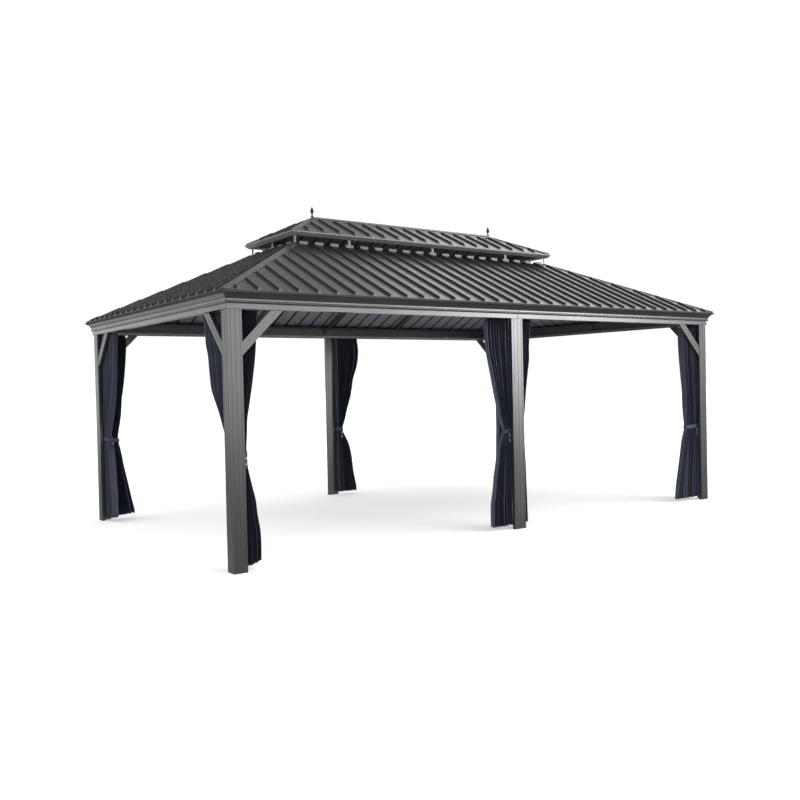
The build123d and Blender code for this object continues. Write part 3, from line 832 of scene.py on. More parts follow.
HANGS: tuple[Hang, ...] = (
    Hang(FRONT_LEFT, Side.LONG, Stations((
        (1.985, 0.155), (1.64, 0.127), (1.49, 0.106), (1.37, 0.086), (1.26, 0.066), (1.15, 0.046),
        (0.90, 0.038), (0.78, 0.045), (0.65, 0.074), (0.53, 0.104), (0.42, 0.117), (0.30, 0.139),
        (0.18, 0.145), (0.04, 0.141),
    )), 0.90, 8, 0.035, 3.1),
    Hang(FRONT_LEFT, Side.END, Stations((
        (1.985, 0.45), (1.74, 0.421), (1.66, 0.386), (1.50, 0.356), (1.38, 0.326), (1.26, 0.236),
        (1.19, 0.181), (1.03, 0.085), (0.92, 0.045), (0.78, 0.056), (0.55, 0.070), (0.30, 0.080),
        (0.04, 0.088),
    )), 0.92, 9, 0.03, 7.4),
    Hang(FRONT_MIDDLE, Side.NEAR, Stations((
        (1.985, 0.275), (1.75, 0.268), (1.64, 0.250), (1.55, 0.229), (1.46, 0.207), (1.36, 0.185),
        (1.27, 0.163), (1.18, 0.140), (1.08, 0.118), (0.99, 0.083), (0.93, 0.059), (0.85, 0.099),
        (0.76, 0.139), (0.66, 0.154), (0.52, 0.183), (0.39, 0.199), (0.25, 0.227), (0.11, 0.231),
        (0.04, 0.228),
    )), 0.93, 8, 0.0, 12.9),
    Hang(FRONT_MIDDLE, Side.FAR, Stations((
        (1.985, 0.150), (1.74, 0.121), (1.60, 0.118), (1.50, 0.102), (1.40, 0.086), (1.21, 0.062),
        (0.93, 0.040), (0.80, 0.048), (0.60, 0.060), (0.30, 0.072), (0.04, 0.080),
    )), 0.93, 8, 0.02, 19.2),
    Hang(FRONT_RIGHT, Side.LONG, Stations((
        (1.985, 0.248), (1.76, 0.243), (1.53, 0.230), (1.36, 0.216), (1.08, 0.205), (0.90, 0.190),
        (0.83, 0.186), (0.76, 0.205), (0.69, 0.233), (0.52, 0.273), (0.36, 0.313), (0.19, 0.353),
        (0.04, 0.373),
    )), 0.84, 8, 0.0, 25.7),
    Hang(FRONT_RIGHT, Side.END, Stations((
        (1.985, 0.160), (1.64, 0.146), (1.20, 0.120), (0.95, 0.102), (0.84, 0.096), (0.65, 0.145),
        (0.30, 0.205), (0.04, 0.225),
    )), 0.84, 8, 0.02, 31.3),
    Hang(REAR_LEFT, Side.LONG, Stations((
        (1.985, 0.200), (1.77, 0.188), (1.55, 0.171), (1.28, 0.141), (1.12, 0.126), (0.96, 0.099),
        (0.86, 0.090), (0.74, 0.115), (0.58, 0.142), (0.41, 0.181), (0.24, 0.220), (0.07, 0.259),
        (0.04, 0.260),
    )), 0.86, 8, 0.02, 37.9),
    Hang(REAR_LEFT, Side.END, Stations((
        (1.985, 0.39), (1.64, 0.350), (1.44, 0.300), (1.26, 0.238), (1.05, 0.140), (0.90, 0.085),
        (0.76, 0.150), (0.40, 0.205), (0.04, 0.228),
    )), 0.88, 9, 0.03, 41.8),
    Hang(REAR_MIDDLE, Side.NEAR, Stations((
        (1.985, 0.310), (1.77, 0.308), (1.64, 0.285), (1.45, 0.218), (1.26, 0.183), (1.07, 0.117),
        (0.94, 0.083), (0.82, 0.050), (0.68, 0.121), (0.49, 0.161), (0.29, 0.186), (0.10, 0.226),
        (0.04, 0.230),
    )), 0.83, 8, 0.0, 47.2),
    Hang(REAR_RIGHT, Side.LONG, Stations((
        (1.985, 0.070), (1.64, 0.055), (1.26, 0.040), (0.90, 0.022), (0.70, 0.036), (0.30, 0.048),
        (0.04, 0.052),
    )), 0.88, 8, 0.0, 53.5),
    Hang(REAR_RIGHT, Side.END, Stations((
        (1.985, 0.415), (1.66, 0.370), (1.38, 0.290), (1.19, 0.190), (1.03, 0.105), (0.92, 0.065),
        (0.76, 0.118), (0.40, 0.178), (0.04, 0.198),
    )), 0.92, 9, 0.03, 59.6),
)


@dataclass(frozen=True)
class Drape:
    """How cloth falls between its rail, its tie and its hem, with lengths in metres.

    Attributes:
        waist: how far from the tie the folds are drawn together.
        head: how far below the rail the pleats stay even.
        fall: how far from the tie the folds are loose again.
        grip: how much of the looseness the tie takes away.
        drift: how far loose folds wander across the cloth, in radians of a pleat.
        even: extra depth of the pleats at the rail.
        uneven: how much the depth of loose folds varies.
        broad: depth of the folds that are twice as wide as a pleat.
        fine: depth of the folds between pleats.
        square: how flat the outer sides of the folds are.
        pinch: how much the tie narrows the folds at the edges of the cloth.
        ease: how much less it narrows them in the middle.
        sway: how far the folds lean over each other.
        crease: depth of the small creases.
        sag: how far the head sags between gliders.
        wander: how far loose cloth lifts or drops.
    """

    waist: float = 0.13
    head: float = 0.14
    fall: float = 0.5
    grip: float = 0.8
    drift: float = 3.2
    even: float = 0.08
    uneven: float = 0.7
    broad: float = 0.25
    fine: float = 0.14
    square: float = 1.25
    pinch: float = 0.46
    ease: float = 0.36
    sway: float = 0.55
    crease: float = 0.0035
    sag: float = 0.004
    wander: float = 0.006


@dataclass(frozen=True)
class Band:
    """The band of a tie and its hanging end, with lengths in metres.

    Attributes:
        width: width of the band.
        rows: faces across its width.
        sides: faces round it.
        thickness: its thickness.
        play: room between the band and the folds.
        snug: how deep the band is, as a share of the folds' room.
        start: how far behind the curtain's edge it starts, at its hook.
        bulge: how much its middle line bulges, as a share.
        ripple: how much it ripples, as a share.
        droop: how far it hangs lower at the post than at the leading edge.
        end_along: how far from the post's edge its end hangs.
        end_size: width and length of the end.
        end_room: room between the end and the band.
        end_rise: how far below the band's middle line the end starts.
        curl: how far the end curls.
    """

    width: float = 0.042
    rows: int = 6
    sides: int = 56
    thickness: float = 0.002
    play: float = 0.004
    snug: float = 0.94
    start: float = 0.012
    bulge: float = 0.05
    ripple: float = 0.012
    droop: float = 0.012
    end_along: float = 0.019
    end_size: tuple[float, float] = (0.026, 0.108)
    end_room: float = 0.0035
    end_rise: float = 0.010
    curl: float = 0.0012


# Radius and height of a snap stud's outline, in metres
STUD_OUTLINE = (
    (0.0, 0.0), (0.0088, 0.0), (0.0088, 0.0012), (0.0070, 0.0030), (0.0036, 0.0041), (0.0, 0.0044),
)


def gained(mesh: bmesh.types.BMesh, before: set[bmesh.types.BMVert]) -> list[bmesh.types.BMVert]:
    """The vertices that a mesh has gained since it was looked at before."""
    return [vertex for vertex in mesh.verts if vertex not in before]


def turn_outline(mesh: bmesh.types.BMesh, outline: tuple[tuple[float, float], ...],
                 steps: int) -> list[bmesh.types.BMVert]:
    """Turn an outline round the upright axis through the origin.

    Args:
        mesh: takes the turned shape.
        outline: radius and height of its points.
        steps: faces round it.

    Returns:
        Its vertices.
    """
    before = set(mesh.verts)
    line = [mesh.verts.new((radius, 0.0, height)) for radius, height in outline]
    edges = [mesh.edges.new(pair) for pair in zip(line, line[1:])]
    bmesh.ops.spin(mesh, geom=line + edges, cent=(0, 0, 0), axis=(0, 0, 1), angle=math.tau, steps=steps,
                   use_merge=True)
    return gained(mesh, before)


@dataclass
class Curtains:
    """The pleated curtains, gathered at their ties and fanned out below them, on gliders in the rails.

    Attributes:
        shop: makes the pieces.
        plan: the CAD model's sizes.
        drape: how the cloth falls.
        band: the sizes of a tie.
        tuck: how far a curtain goes on behind its post.
        outward: room for folds outside the rail's line.
        inward: room for folds inside it.
        rail_height: where the head of the cloth hangs.
        rail_slot: the height at which the gliders go into the rail.
        hem_height: where the hem hangs.
        columns: faces to a pleat.
        rows: faces down the curtain.
        thickness: thickness of the cloth.
        glider: lower and upper radius and length of a glider.
        glider_sides: flat sides round a glider.
        stud_drops: how far below a tie's middle line its studs sit.
        stud_rise: how far they stand off the cloth's middle.
        stud_sides: flat sides round a stud.
    """

    shop: Workshop
    plan: Plan
    drape: Drape = Drape()
    band: Band = Band()
    tuck: float = 0.022
    outward: float = 0.022
    inward: float = 0.050
    rail_height: float = 1.984
    rail_slot: float = 1.989
    hem_height: float = 0.036
    columns: int = 14
    rows: int = 96
    thickness: float = 0.0012
    glider: Triple = (0.0028, 0.0022, 0.010)
    glider_sides: int = 8
    stud_drops: tuple[float, float] = (0.042, 0.088)
    stud_rise: float = 0.0014
    stud_sides: int = 12

    @property
    def middle(self) -> float:
        """How far in from the rail's line the middle of the folds lies."""
        return (self.inward - self.outward) / 2

    @property
    def room(self) -> float:
        """Half the room that the folds have across the rail's line."""
        return (self.inward + self.outward) / 2

    @property
    def band_deep(self) -> float:
        """Half the depth of a tie's band across the rail's line."""
        return self.room * self.band.snug + self.band.play

    def carry(self, hang: Hang, spot: Vector) -> Vector:
        """Take a point beside a post to its place.

        Args:
            hang: the curtain.
            spot: distance along the rail from the post's edge, distance in from the rail's line, and height.

        Returns:
            The point in the gazebo's frame.
        """
        plan = self.plan
        across = plan.rail_line + spot.y
        if hang.side is Side.LONG:
            point = (plan.post_edge + spot.x - plan.half_length, across - plan.half_width, spot.z)
        elif hang.side is Side.END:
            point = (across - plan.half_length, plan.post_edge + spot.x - plan.half_width, spot.z)
        else:
            along = plan.middle_half + spot.x
            point = (-along if hang.side is Side.NEAR else along, across - plan.half_width, spot.z)
        return hang.place.carry(Vector(point))

    def fold(self, hang: Hang, share: float, height: float) -> Vector:
        """A point of the cloth beside its post.

        Args:
            hang: the curtain.
            share: 0 at the post's side of the cloth and 1 at its leading edge.
            height: 0 at the head of the cloth and 1 at its hem.

        Returns:
            Distance from the post along the rail, distance inwards from the rail's line, and height.
        """
        drape = self.drape
        hem = self.hem_height + hang.lift * share ** 3
        level = self.rail_height - height * (self.rail_height - hem)
        reach = hang.reach.at(level) + self.tuck
        waist = math.exp(-(((level - hang.tie) / drape.waist) ** 2))
        head = max(0.0, 1.0 - (self.rail_height - level) / drape.head)
        fall = min(1.0, abs(level - hang.tie) / drape.fall)
        loose = (1.0 - head) * (1.0 - drape.grip * waist)
        # The folds are a row of waves whose place and depth drift slowly with the noise
        slow = noise.noise(Vector((share * 2.3 + hang.seed, level * 0.5, hang.seed)))
        side = noise.noise(Vector((share * 4.1 - hang.seed, level * 0.9, 4.0)))
        turn = math.tau * hang.pleats * share + drape.drift * loose * slow
        depth = 1.0 - drape.even * (1.0 - head) + drape.uneven * loose * side
        wave = math.sin(turn) + drape.broad * loose * fall * math.sin(0.5 * turn + 4.0 * slow)
        wave += drape.fine * loose * math.sin(2.3 * turn + 5.0 * slow)
        bulge = math.sqrt(max(0.0, 1.0 - (2 * share - 1) ** 2))
        room = self.room * (1.0 - waist * (drape.pinch - drape.ease * bulge))
        across = self.middle + room * math.tanh(drape.square * wave * depth) / math.tanh(drape.square)
        across = max(-self.outward, min(self.inward, across))
        sway = drape.sway * reach / hang.pleats / math.tau * math.sin(2 * turn) * (1.0 - 0.6 * waist)
        along = reach * share + sway * math.sin(math.pi * share)
        creases = noise.noise(Vector((share * 24.0, level * 6.0, hang.seed))) * drape.crease * (0.35 + waist)
        sag = drape.sag * head * (1.0 - math.cos(turn)) / 2
        wander = drape.wander * loose * noise.noise(Vector((share * 3.0, hang.seed, 9.0)))
        return Vector((along - self.tuck, across + creases, level - sag + wander * height))

    def cloth(self, hang: Hang) -> bmesh.types.BMesh:
        """Fold the cloth of one curtain.

        Args:
            hang: the curtain.

        Returns:
            Its mesh, with its flat map.
        """
        mesh = bmesh.new()
        layer = mesh.loops.layers.uv.new("flat")
        bmesh.ops.create_grid(mesh, x_segments=hang.pleats * self.columns, y_segments=self.rows, size=0.5)
        shares = {vertex: (vertex.co.x + 0.5, vertex.co.y + 0.5) for vertex in mesh.verts}
        for face in mesh.faces:
            for loop in face.loops:
                share, height = shares[loop.vert]
                loop[layer].uv = (share * CLOTH_SIZE[0], height * CLOTH_SIZE[1])
        for vertex, (share, height) in shares.items():
            vertex.co = self.carry(hang, self.fold(hang, share, height))
        return mesh

    def hang_up(self, hang: Hang) -> None:
        """Make one curtain.

        Args:
            hang: the curtain.
        """
        piece = self.shop.publish(hang.name, self.cloth(hang), "cloth", Slot.CURTAIN_CLOTH)
        skin = piece.modifiers.new("Thickness", "SOLIDIFY")
        skin.thickness = self.thickness
        skin.offset = 0.0
        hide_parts(f"curtains_{hang.place.name}")

    def wrap(self, hang: Hang, mesh: bmesh.types.BMesh) -> float:
        """Lay the band of a tie round its curtain, from the hook on the post.

        Args:
            hang: the curtain.
            mesh: takes the band.

        Returns:
            The length of the band.
        """
        band = self.band
        near = -self.tuck - band.start
        half = (hang.reach.at(hang.tie) - near) / 2 + band.play
        deep = self.band_deep
        ring = bmesh.ops.create_circle(mesh, cap_ends=False, radius=1.0, segments=band.sides)["verts"]
        bmesh.ops.scale(mesh, vec=(half, deep, 1.0), verts=ring)
        bmesh.ops.translate(mesh, vec=(0, 0, -band.width / 2), verts=ring)
        edges = list(mesh.edges)
        for _ in range(band.rows):
            grown = bmesh.ops.extrude_edge_only(mesh, edges=edges)["geom"]
            rim = [item for item in grown if isinstance(item, bmesh.types.BMVert)]
            bmesh.ops.translate(mesh, vec=(0, 0, band.width / band.rows), verts=rim)
            edges = [item for item in grown if isinstance(item, bmesh.types.BMEdge)]
        for vertex in mesh.verts:
            angle = math.atan2(vertex.co.y / deep, vertex.co.x / half)
            bulge = band.bulge * math.cos(vertex.co.z / band.width * math.pi)
            swell = 1.0 + bulge + band.ripple * math.sin(9 * angle)
            droop = -band.droop * math.cos(angle) + 0.002 * math.sin(5 * angle)
            spot = Vector((near + half + vertex.co.x * swell, self.middle + vertex.co.y * swell,
                           hang.tie + vertex.co.z + droop))
            vertex.co = self.carry(hang, spot)
        bmesh.ops.recalc_face_normals(mesh, faces=mesh.faces)
        return math.tau * math.sqrt((half ** 2 + deep ** 2) / 2)

    def tie(self, hang: Hang) -> None:
        """Make the band round one curtain and its hanging end.

        Args:
            hang: the curtain.
        """
        band = self.band
        mesh = bmesh.new()
        layer = mesh.loops.layers.uv.new("flat")
        length = self.wrap(hang, mesh)
        wide, long = band.end_size
        end = bmesh.ops.create_grid(mesh, x_segments=3, y_segments=8, size=0.5)["verts"]
        for vertex in end:
            away = self.end_away(hang) + band.curl * math.sin(9.0 * vertex.co.y)
            drop = band.end_rise - (vertex.co.y - 0.5) * long
            vertex.co = self.carry(hang, Vector((band.end_along + vertex.co.x * wide, away, hang.tie - drop)))
        # The map is read from the band's place, clear of the hems that the weave stitches
        for face in mesh.faces:
            for loop in face.loops:
                loop[layer].uv = (0.5 + loop.vert.co.x + loop.vert.co.y, 0.5 + loop.vert.co.z)
        piece = self.shop.publish(f"{hang.name}_tie", mesh, "cloth", Slot.CURTAIN_CLOTH)
        skin = piece.modifiers.new("Thickness", "SOLIDIFY")
        skin.thickness = band.thickness
        skin.offset = 1.0
        hang.name

    def end_away(self, hang: Hang) -> float:
        """How far in from the rail's line the hanging end of a tie lies.

        Args:
            hang: the curtain.

        Returns:
            The distance: at the outer side of a front curtain and at the inner side of a rear one.
        """
        return self.middle - hang.place.flip_y * (self.band_deep + self.band.end_room)

    def studs(self, hang: Hang, mesh: bmesh.types.BMesh) -> None:
        """Add the two snap studs on the hanging end of a tie.

        Args:
            hang: the curtain.
            mesh: takes the studs.
        """
        for drop in self.stud_drops:
            for vertex in turn_outline(mesh, STUD_OUTLINE, self.stud_sides):
                away = self.end_away(hang) - hang.place.flip_y * (self.stud_rise + vertex.co.z)
                along = self.band.end_along + vertex.co.x
                vertex.co = self.carry(hang, Vector((along, away, hang.tie - drop + vertex.co.y)))

    def gliders(self, hang: Hang, mesh: bmesh.types.BMesh) -> None:
        """Add the gliders that carry one curtain, two to a pleat.

        Args:
            hang: the curtain.
            mesh: takes the gliders.
        """
        lower, upper, length = self.glider
        for index in range(2 * hang.pleats + 1):
            head = self.fold(hang, index / (2 * hang.pleats), 0.0)
            spot = self.carry(hang, Vector((head.x, 0.0, self.rail_slot)))
            bmesh.ops.create_cone(mesh, cap_ends=True, segments=self.glider_sides, radius1=lower,
                                  radius2=upper, depth=length, matrix=Matrix.Translation(spot))

    def build(self) -> None:
        """Make every curtain, its tie and its gliders."""
        carriers = bmesh.new()
        snaps = bmesh.new()
        for hang in HANGS:
            self.hang_up(hang)
            self.tie(hang)
            self.studs(hang, snaps)
            self.gliders(hang, carriers)
        bmesh.ops.remove_doubles(snaps, verts=snaps.verts, dist=1e-6)
        bmesh.ops.recalc_face_normals(snaps, faces=snaps.faces)
        self.shop.publish("tie_studs", snaps, "screws", Slot.RAIL_METAL)
        self.shop.publish("curtain_gliders", carriers, "plastic", Slot.RAIL_METAL)


@dataclass(frozen=True)
class Disc:
    """One flat-sided step of a screw, with its radii as shares of the head's.

    Attributes:
        sides: flat sides round it.
        lower: radius at its foot.
        upper: radius at its top.
        depth: its thickness in metres.
        rise: height of its middle over the surface in metres.
    """

    sides: int
    lower: float
    upper: float
    depth: float
    rise: float


@dataclass(frozen=True)
class HipRow:
    """The screws in pairs down the hip caps of one tier.

    Attributes:
        node: the caps.
        half_length: half the length of the tier.
        half_width: half its width.
        first: how far in from both sides of the corner the first pair sits.
        step: how much further in each next pair sits.
        count: pairs to a cap.
    """

    node: str
    half_length: float
    half_width: float
    first: float
    step: float
    count: int


@dataclass(frozen=True)
class Hook:
    """A tie's hook: a plate on the post with a ring before it, with lengths in metres.

    Attributes:
        plate: width, thickness and height of the plate.
        bevel: width of its bevels.
        plate_spot: how far the plate's middle lies behind the post's edge and off its face.
        wire: radius of the ring's wire.
        ring: radius of the ring.
        ring_spot: how far the ring's middle lies behind the post's edge and off its face.
        wire_sides: flat sides round the wire.
        ring_steps: pieces round the ring.
    """

    plate: Triple = (0.016, 0.0024, 0.044)
    bevel: float = 0.0008
    plate_spot: tuple[float, float] = (0.048, 0.0013)
    wire: float = 0.0016
    ring: float = 0.0085
    ring_spot: tuple[float, float] = (0.044, 0.0115)
    wire_sides: int = 8
    ring_steps: int = 16


SCREW_STEPS = (Disc(12, 1.75, 1.6, 0.0012, 0.0006), Disc(6, 1.0, 0.92, 0.0034, 0.0028))
CORNERS = (("rear_right", 1, 1), ("front_right", 1, -1), ("rear_left", -1, 1), ("front_left", -1, -1))


@dataclass
class Hardware:
    """Screws, washers and tie hooks, each seated on the CAD surface that it holds.

    Attributes:
        shop: makes the pieces.
        plan: the CAD model's sizes.
        curtains: gives the places beside the posts.
        hook: the sizes of a tie's hook.
        trees: the CAD surfaces, by node.
        head: radius of a screw's head.
        inside: where the rays to the inner faces start, from the middle of the plan.
        above: where the rays to the roof start.
        hip_aside: half the distance between the screws of a pair on a hip cap.
        ridge_first: place of the first pair on the ridge cap.
        ridge_step: distance between pairs on it.
        ridge_pairs: how many pairs it has.
        ridge_aside: half the distance between the screws of a pair on it.
        brace_ends: how far along from the post and how far below the beam each brace screw sits.
        splice_along: places of the screws along a splice plate.
        splice_heights: their heights.
        foot_head: radius of the heads at the posts' feet.
        foot_height: their height.
        foot_inset: how far in from the lip they sit on a corner post.
        foot_aside: how far from the middle they sit on a middle post.
    """

    shop: Workshop
    plan: Plan
    curtains: Curtains
    hook: Hook = Hook()
    trees: dict[str, BVHTree] = field(default_factory=dict)
    head: float = 0.0042
    inside: tuple[float, float] = (2.4, 1.3)
    above: float = 4.0
    hip_aside: float = 0.033
    ridge_first: float = -1.08
    ridge_step: float = 0.36
    ridge_pairs: int = 7
    ridge_aside: float = 0.047
    brace_ends: tuple[tuple[float, float], ...] = ((0.030, 0.286), (0.286, 0.030))
    splice_along: tuple[float, ...] = (-0.075, -0.025, 0.025, 0.075)
    splice_heights: tuple[float, ...] = (2.035, 2.085)
    foot_head: float = 0.006
    foot_height: float = 0.03
    foot_inset: float = 0.15
    foot_aside: float = 0.03

    def seat(self, node: str, start: Triple, way: Triple) -> tuple[Vector, Vector] | None:
        """Find where a ray meets a CAD node.

        Args:
            node: the node's name.
            start: where the ray starts.
            way: where it goes.

        Returns:
            The point and the way out of the surface, or None where it misses.
        """
        if node not in self.trees:
            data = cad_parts[node].data
            points = [vertex.co.copy() for vertex in data.vertices]
            self.trees[node] = BVHTree.FromPolygons(points, [tuple(face.vertices) for face in data.polygons])
        point, normal, _, _ = self.trees[node].ray_cast(Vector(start), Vector(way))
        if point is None:
            return None
        return point, normal if normal.dot(Vector(way)) < 0 else -normal

    def screw(self, mesh: bmesh.types.BMesh, node: str, start: Triple, way: Triple,
              head: float | None = None) -> None:
        """Add a hexagonal head on its washer where a ray meets a CAD node.

        Args:
            mesh: takes the screw.
            node: the node's name.
            start: where the ray starts.
            way: where it goes.
            head: radius of the head, if it isn't the usual one.
        """
        seat = self.seat(node, start, way)
        if seat is None:
            return
        spot, out = seat
        radius = head or self.head
        turn = out.to_track_quat("Z", "Y").to_matrix().to_4x4()
        for step in SCREW_STEPS:
            place = Matrix.Translation(spot) @ turn @ Matrix.Translation((0, 0, step.rise))
            bmesh.ops.create_cone(mesh, cap_ends=True, segments=step.sides, radius1=radius * step.lower,
                                  radius2=radius * step.upper, depth=step.depth, matrix=place)

    def cap_screws(self) -> None:
        """Screw down the hip caps and the ridge cap, on both sides of their rolls."""
        plan = self.plan
        mesh = bmesh.new()
        aside = self.hip_aside / math.sqrt(2)
        for row in (
            HipRow("lower_hip_caps", plan.half_length, plan.half_width, 0.11, 0.31, 4),
            HipRow("upper_hip_caps", plan.upper_half_length, plan.upper_half_width, 0.09, 0.17, 3),
        ):
            for _, flip_x, flip_y in CORNERS:
                for index in range(row.count):
                    inset = row.first + row.step * index
                    for off in (aside, -aside):
                        x = flip_x * (row.half_length - inset - off)
                        y = flip_y * (row.half_width - inset + off)
                        self.screw(mesh, row.node, (x, y, self.above), (0, 0, -1))
        for index in range(self.ridge_pairs):
            for side in (-self.ridge_aside, self.ridge_aside):
                start = (self.ridge_first + self.ridge_step * index, side, self.above)
                self.screw(mesh, "ridge_cap", start, (0, 0, -1))
        self.shop.publish("roof_cap_screws", mesh, "painted_screws", Slot.ROOF_TRIM, smooth=False)

    def corner_screws(self, mesh: bmesh.types.BMesh, node: str, flips: tuple[int, int], inset: float,
                      height: float, head: float | None = None) -> None:
        """Add a screw on the inner face of each of a corner's two sides.

        Args:
            mesh: takes the screws.
            node: the node that they hold.
            flips: the corner, as the signs of its place.
            inset: how far in from the lip of the other side they sit.
            height: their height.
            head: radius of their heads, if it isn't the usual one.
        """
        flip_x, flip_y = flips
        x, y = flip_x * (self.plan.half_length - inset), flip_y * (self.plan.half_width - inset)
        self.screw(mesh, node, (x, flip_y * self.inside[1], height), (0, flip_y, 0), head)
        self.screw(mesh, node, (flip_x * self.inside[0], y, height), (flip_x, 0, 0), head)

    def frame_screws(self) -> None:
        """Screw the braces, the splice plates and the feet of the posts."""
        mesh = bmesh.new()
        for corner, flip_x, flip_y in CORNERS:
            for along, down in self.brace_ends:
                inset, height = self.plan.post_edge + along, self.plan.beam_underside - down
                self.corner_screws(mesh, f"knee_braces_{corner}", (flip_x, flip_y), inset, height)
        for along in self.splice_along:
            for height in self.splice_heights:
                for flip in (1, -1):
                    start = (along, flip * self.inside[1], height)
                    self.screw(mesh, "beam_splice_plates", start, (0, flip, 0))
                    start = (flip * self.inside[0], along, height)
                    self.screw(mesh, "beam_splice_plates", start, (flip, 0, 0))
        for corner, flip_x, flip_y in CORNERS:
            self.corner_screws(mesh, f"post_{corner}", (flip_x, flip_y), self.foot_inset, self.foot_height,
                               self.foot_head)
        for name, flip in (("front", -1), ("rear", 1)):
            for x in (-self.foot_aside, self.foot_aside):
                start = (x, flip * self.inside[1], self.foot_height)
                self.screw(mesh, f"post_{name}_middle", start, (0, flip, 0), self.foot_head)
        self.shop.publish("frame_screws", mesh, "painted_screws", Slot.POWDER_COAT, smooth=False)

    def settle(self, hang: Hang, made: list[bmesh.types.BMVert], spot: tuple[float, float]) -> None:
        """Take a part of a hook from the origin to its post.

        Args:
            hang: the curtain that the hook is for.
            made: the part's vertices.
            spot: how far its middle lies behind the post's edge and off the post's face.
        """
        behind, off = spot
        face = self.plan.post_back - self.plan.rail_line
        for vertex in made:
            vertex.co = self.curtains.carry(hang, Vector((-behind, face + off, hang.tie)) + vertex.co)

    def tie_hook(self, hang: Hang, mesh: bmesh.types.BMesh) -> None:
        """Add the hook beside one tie.

        Args:
            hang: the curtain that the hook is for.
            mesh: takes the hook.
        """
        hook = self.hook
        before = set(mesh.verts)
        plate = bmesh.ops.create_cube(mesh, size=1.0)["verts"]
        bmesh.ops.scale(mesh, vec=hook.plate, verts=plate)
        rim = list(dict.fromkeys(edge for vertex in plate for edge in vertex.link_edges))
        bmesh.ops.bevel(mesh, geom=rim, offset=hook.bevel, segments=1, profile=0.5, affect="EDGES",
                        material=-1)
        self.settle(hang, gained(mesh, before), hook.plate_spot)
        before = set(mesh.verts)
        wire = bmesh.ops.create_circle(mesh, cap_ends=False, radius=hook.wire,
                                       segments=hook.wire_sides)["verts"]
        bmesh.ops.rotate(mesh, cent=(0, 0, 0), matrix=Matrix.Rotation(math.pi / 2, 3, "X"), verts=wire)
        bmesh.ops.translate(mesh, vec=(hook.ring, 0, 0), verts=wire)
        rim = list(dict.fromkeys(edge for vertex in wire for edge in vertex.link_edges))
        bmesh.ops.spin(mesh, geom=wire + rim, cent=(0, 0, 0), axis=(0, 0, 1), angle=math.tau,
                       steps=hook.ring_steps, use_merge=True)
        self.settle(hang, gained(mesh, before), hook.ring_spot)

    def build(self) -> None:
        """Make all the small metalwork."""
        self.cap_screws()
        self.frame_screws()
        mesh = bmesh.new()
        for hang in HANGS:
            self.tie_hook(hang, mesh)
        bmesh.ops.recalc_face_normals(mesh, faces=mesh.faces)
        self.shop.publish("tie_hooks", mesh, "screws", Slot.RAIL_METAL, smooth=False)


@dataclass
class Finials:
    """The two turned finials on the ends of the ridge.

    Attributes:
        shop: makes the pieces.
        height: their height.
        bud: radius of the bud.
        neck: radius of the neck.
        foot: radius of the foot.
        sides: faces round them.
    """

    shop: Workshop
    height: float = 0.104
    bud: float = 0.0178
    neck: float = 0.006
    foot: float = 0.015
    sides: int = 40

    def outline(self) -> tuple[tuple[float, float], ...]:
        """Draw the turned outline.

        Returns:
            Radius and height of its points, from the middle of the foot to the tip.
        """
        foot, neck, bud, top = self.foot, self.neck, self.bud, self.height
        return (
            (0.0, 0.0), (foot, 0.0), (foot, 0.004), (foot * 0.85, 0.008), (neck * 1.6, 0.011),
            (neck * 1.2, 0.016), (neck * 1.7, 0.020), (neck * 1.2, 0.024), (neck, 0.028),
            (neck, top * 0.31), (neck * 1.7, top * 0.34), (bud * 0.76, top * 0.39),
            (bud * 0.95, top * 0.45), (bud, top * 0.53), (bud * 0.97, top * 0.62),
            (bud * 0.84, top * 0.71), (bud * 0.62, top * 0.80), (bud * 0.36, top * 0.89),
            (bud * 0.13, top * 0.96), (0.0, top),
        )

    def build(self) -> None:
        """Turn both finials and set each on its CAD solid's place."""
        for node in ("finial_left", "finial_right"):
            low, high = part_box(node)
            mesh = bmesh.new()
            turn_outline(mesh, self.outline(), self.sides)
            bmesh.ops.remove_doubles(mesh, verts=mesh.verts, dist=1e-6)
            centre = Vector(((low[0] + high[0]) / 2, (low[1] + high[1]) / 2, low[2]))
            bmesh.ops.translate(mesh, vec=centre, verts=mesh.verts)
            bmesh.ops.recalc_face_normals(mesh, faces=mesh.faces)
            piece = self.shop.publish(f"{node}_turned", mesh, "finials", Slot.FINIAL_METAL)
            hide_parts(node)


# Studio


@dataclass(frozen=True)
class PhotoCamera:
    """The camera of the photograph, as worked out from the straight edges in it.

    Attributes:
        spot: where it stands.
        yaw: how far it is turned from the rear towards the right.
        pitch: how far it looks up.
        roll: how far it leans.
        focal: focal length in pixels of the photograph.
        frame_pixels: width of the photograph in pixels.
        sensor: width of the film in millimetres.
        clip: how far it sees.
    """

    spot: Triple = (-5.5424, -7.6084, 1.4073)
    yaw: float = 0.6175
    pitch: float = -0.0207
    roll: float = -0.0223
    focal: float = 849.48
    frame_pixels: float = 800.0
    sensor: float = 36.0
    clip: float = 500.0

    def build(self) -> None:
        """Make the scene's camera."""
        ahead = Vector((
            math.sin(self.yaw) * math.cos(self.pitch), math.cos(self.yaw) * math.cos(self.pitch),
            math.sin(self.pitch)))
        right = Vector((math.cos(self.yaw), -math.sin(self.yaw), 0.0))
        up = right.cross(ahead)
        side = math.cos(self.roll) * right + math.sin(self.roll) * up
        above = math.cos(self.roll) * up - math.sin(self.roll) * right
        data = bpy.data.cameras.new("Photograph")
        data.sensor_width = self.sensor
        data.lens = self.focal * self.sensor / self.frame_pixels
        data.clip_end = self.clip
        camera = bpy.data.objects.new("Photograph", data)
        turn = Matrix((side, above, -ahead)).transposed().to_4x4()
        camera.matrix_world = Matrix.Translation(self.spot) @ turn
        bpy.context.scene.collection.objects.link(camera)
        bpy.context.scene.camera = camera


